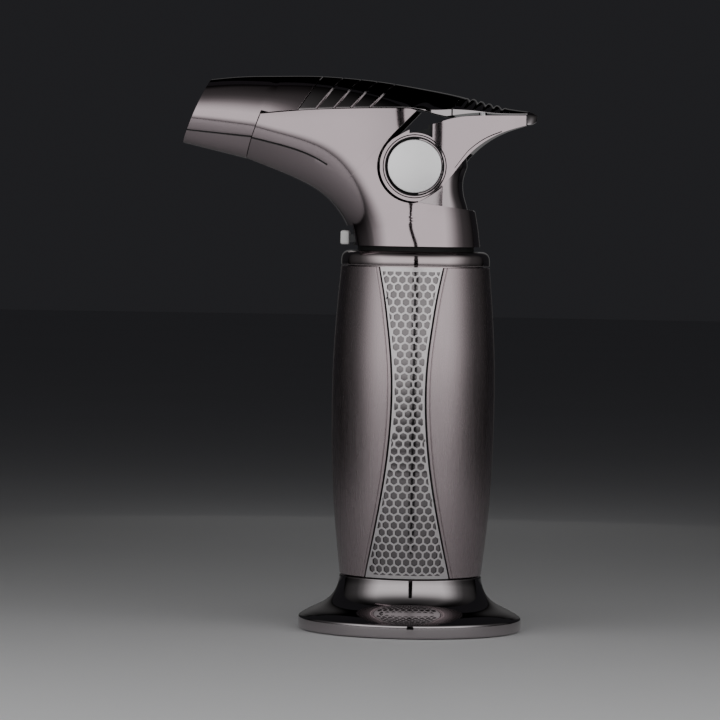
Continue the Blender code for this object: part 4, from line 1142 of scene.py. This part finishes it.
def make_frame():
    heights = spread(COLLAR_FLOOR + GAP, 136.0, 50)
    rows, lining = ([frame_row(z, inset) for z in heights] for inset in (0.0, FRAME_WALL))
    last = len(rows[0]) - 2

    # painted shade: the cells nearest both front edges of the U, under the housing, and the inner skin get
    # the near-black second material
    def painted_shade_under_housing(_i, j):
        return min(j, last - j) < 2

    shell = grid_shell(rows, lining, dark=painted_shade_under_housing)
    axles = ((*PIVOT, PIVOT_BORE), (*CRANK, CRANK_BORE))
    holes = [rod(r, 30.0, axis_frame((x, -15.0, z), (0, 1, 0))) for x, z, r in axles]
    shell = combine(shell, join(*holes), "DIFFERENCE")
    flange = rod(14.1, 1.5, Matrix.Translation((0, 0, 113.7)), steps=96)
    shelf = combine(block((-3.0, -16.5, 113.2), (16.5, 16.5, 115.7)), flange, "INTERSECT")
    hollow = block((-9.0, -FRAME_Y + 0.6, 112.0), (11.6, FRAME_Y - 0.6, 117.0))
    shelf = combine(shelf, hollow, "DIFFERENCE")
    bm = combine(shell, shelf, "UNION")
    piece("rear_frame", bm, ["insert", "dark"], ROOT, ["mechanism_frame"], 40, 0.12)


# ---- pieces kept as they are in the frame
KEPT_NODES = {
    "rubber": ["foot_pad", "collar_seal", "hose_boot"],
    "steel": [
        "base_screw", "refill_spring", "barrel_screw", "neck_screw", "piezo_spring", "crank_pin",
        "gas_crank", "electrode", "thumb_rest_screw", "pivot_pin",
    ],
    "black": ["handle_core", "piezo_case", "burner_clamp", "trigger_cam", "flame_adjuster"],
    "tank": ["fuel_tank"],
    "brass": [
        "refill_valve_body", "refill_valve_stem", "outlet_valve_body", "outlet_valve_stem", "jet_holder",
        "mixing_tube", "burner_head", "flame_grid",
    ],
    "hose": ["gas_hose"],
    "knob": ["piezo_plunger"],
    "tube_steel": ["burner_tube"],
    "ceramic": ["electrode_insulator"],
    "lead": ["ignition_lead"],
}


def dress_nodes():
    for look, names in KEPT_NODES.items():
        for name in names:
            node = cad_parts[name]
            node.data.materials.clear()
            node.data.materials.append(LOOKS[look])
            soften(node, 0.12, 40, 2)


# ---- studio
CAMERA_AZIMUTH = 4.0
DOME_CENTRE = Vector((0.0, 0.0, 0.07))
DOME_RADIUS = 0.45
GLOW, BACK_GLOW = 1.3, 0.15
# (degrees from the middle, share of the brightness) sideways and upwards
AZIMUTH_GLOW = [(0, 1.0), (50, 1.0), (60, 0.72), (70, 0.40), (80, 0.18), (92, 0.07), (118, 0.03), (128, 0.0)]
HEIGHT_GLOW = [
    (-9, 0.08), (-6, 0.3), (-3, 0.55), (0, 0.8), (4, 1.0), (20, 1.0), (28, 0.82), (36, 0.55), (44, 0.28),
    (52, 0.13), (60, 0.07), (75, 0.03), (88, 0.0),
]
BACK_HEIGHT_GLOW = [(-6, 0.6), (5, 1.0), (25, 0.8), (35, 0.0)]


def softbox_glow(azimuth, height):
    """Brightness of the soft box; it wraps further round near the top."""
    wrapped = abs(azimuth) - 36.0 * max(0.0, height / 70.0) ** 1.5
    return GLOW * table(AZIMUTH_GLOW, max(0.0, wrapped)) * table(HEIGHT_GLOW, height)


def back_glow(azimuth, height):
    away = min(1.0, abs(azimuth) / 24.0)
    return BACK_GLOW * (1 - away**2) * table(BACK_HEIGHT_GLOW, height)


def lit_skin():
    """Material whose emission is the strength painted on the mesh."""
    material = bpy.data.materials.new("soft_light")
    material.use_nodes = True
    tree = material.node_tree
    tree.nodes.clear()
    strength = tree.nodes.new("ShaderNodeAttribute")
    strength.attribute_name = "glow"
    emit = tree.nodes.new("ShaderNodeEmission")
    out = tree.nodes.new("ShaderNodeOutputMaterial")
    tree.links.new(strength.outputs["Fac"], emit.inputs["Strength"])
    tree.links.new(emit.outputs[0], out.inputs["Surface"])
    return material


def staged(name, bm, look):
    """A studio object, in metres, that isn't part of the torch; the camera doesn't see it."""
    mesh = bpy.data.meshes.new(name)
    bm.to_mesh(mesh)
    bm.free()
    mesh.materials.append(look)
    made = bpy.data.objects.new(name, mesh)
    bpy.context.scene.collection.objects.link(made)
    made.visible_camera = False
    made.visible_shadow = False
    return made


def soft_card(name, middle, spans, strength_at, skin):
    """Part of a dome round the object; spans is its half width in degrees from the middle azimuth."""
    azimuths = spread(-spans, spans, 120)
    heights = spread(-9.0, 89.0, 60)
    bm = bmesh.new()
    layer = bm.verts.layers.float.new("glow")
    rows = []
    for a in azimuths:
        turn = math.radians(middle + a)
        row = []
        for h in heights:
            lift = math.radians(h)
            out = Vector((math.sin(turn) * math.cos(lift), -math.cos(turn) * math.cos(lift), math.sin(lift)))
            vert = bm.verts.new(DOME_CENTRE + out * DOME_RADIUS)
            vert[layer] = strength_at(a, h)
            row.append(vert)
        rows.append(row)
    for a, b in zip(rows, rows[1:]):
        for k in range(len(a) - 1):
            bm.faces.new([a[k], a[k + 1], b[k + 1], b[k]])
    staged(name, bm, skin)


# (distance from the axis, half width, bottom, top) of the two black flags, in metres
FLAGS = [(0.10, 0.0052, 0.0, 0.1225), (0.30, 0.015, 0.1225, 0.50)]


def make_flags():
    """Narrow black flags before the object; the dark line down its round parts is their reflection."""
    look = plastic("flag_cloth", (0.004, 0.004, 0.004), 0.9, 0.0)
    turn = math.radians(CAMERA_AZIMUTH)
    for number, (distance, half, low, high) in enumerate(FLAGS):
        middle = Vector((math.sin(turn), -math.cos(turn), 0.0)) * distance
        across = Vector((math.cos(turn), math.sin(turn), 0.0)) * half
        left, right = middle - across, middle + across
        corners = [(left, low), (right, low), (right, high), (left, high)]
        bm = bmesh.new()
        bm.faces.new([bm.verts.new(point + Vector((0.0, 0.0, z))) for point, z in corners])
        flag = staged(f"flag_{number}", bm, look)
        flag.visible_diffuse = False
        flag.visible_transmission = False


def make_floor():
    """The pale floor, the one studio object that the camera sees."""
    bm = bmesh.new()
    bmesh.ops.create_circle(bm, cap_ends=True, segments=128, radius=4.0)
    s = Shader("floor")
    shade = s.mix(s.noise(6.0, 4.0), (0.74, 0.74, 0.75, 1), (0.79, 0.79, 0.80, 1))
    s.bump(s.noise(400.0, 3.0), 0.0001, 0.1)
    floor = staged("floor", bm, s.set(Base_Color=shade, Roughness=0.6))
    floor.location.z = -0.0002
    floor.visible_camera = True
    floor.visible_shadow = True


def make_studio():
    world = bpy.data.worlds.new("studio")
    world.use_nodes = True
    world.node_tree.nodes["Background"].inputs["Color"].default_value = (0.018, 0.018, 0.020, 1)
    bpy.context.scene.world = world
    make_floor()
    skin = lit_skin()
    soft_card("softbox_front", CAMERA_AZIMUTH, 128.0, softbox_glow, skin)
    soft_card("softbox_back", CAMERA_AZIMUTH + 180.0, 24.0, back_glow, skin)
    make_flags()


CAMERA_AIM = Vector((-0.0150, 0.0, 0.0745))
CAMERA_DISTANCE, CAMERA_RISE = 1.187, 0.0384  # level distance from the aim, and height above it, in metres
CAMERA_ROLL = 0.97  # degrees
CAMERA_LENS = 213.5


def make_camera():
    data = bpy.data.cameras.new("camera")
    data.lens = CAMERA_LENS
    data.sensor_width = 36.0
    data.clip_start = 0.05
    camera = bpy.data.objects.new("camera", data)
    bpy.context.scene.collection.objects.link(camera)
    azimuth = math.radians(CAMERA_AZIMUTH)
    level = CAMERA_DISTANCE * math.sin(azimuth), -CAMERA_DISTANCE * math.cos(azimuth)
    camera.location = CAMERA_AIM + Vector((*level, CAMERA_RISE))
    track = (CAMERA_AIM - camera.location).to_track_quat("-Z", "Y").to_matrix()
    roll = Matrix.Rotation(math.radians(CAMERA_ROLL), 3, "Z")
    camera.rotation_euler = (track @ roll).to_euler()
    bpy.context.scene.camera = camera


def main():
    make_camera()
    make_studio()
    make_base()
    make_collar()
    make_caps()
    make_knob()
    make_grips()
    make_lattice("front", 0.0)
    make_lattice("back", math.pi)
    make_housings()
    make_nozzle()
    make_spine()
    make_lever()
    make_thumb_rest()
    make_frame()
    dress_nodes()


main()
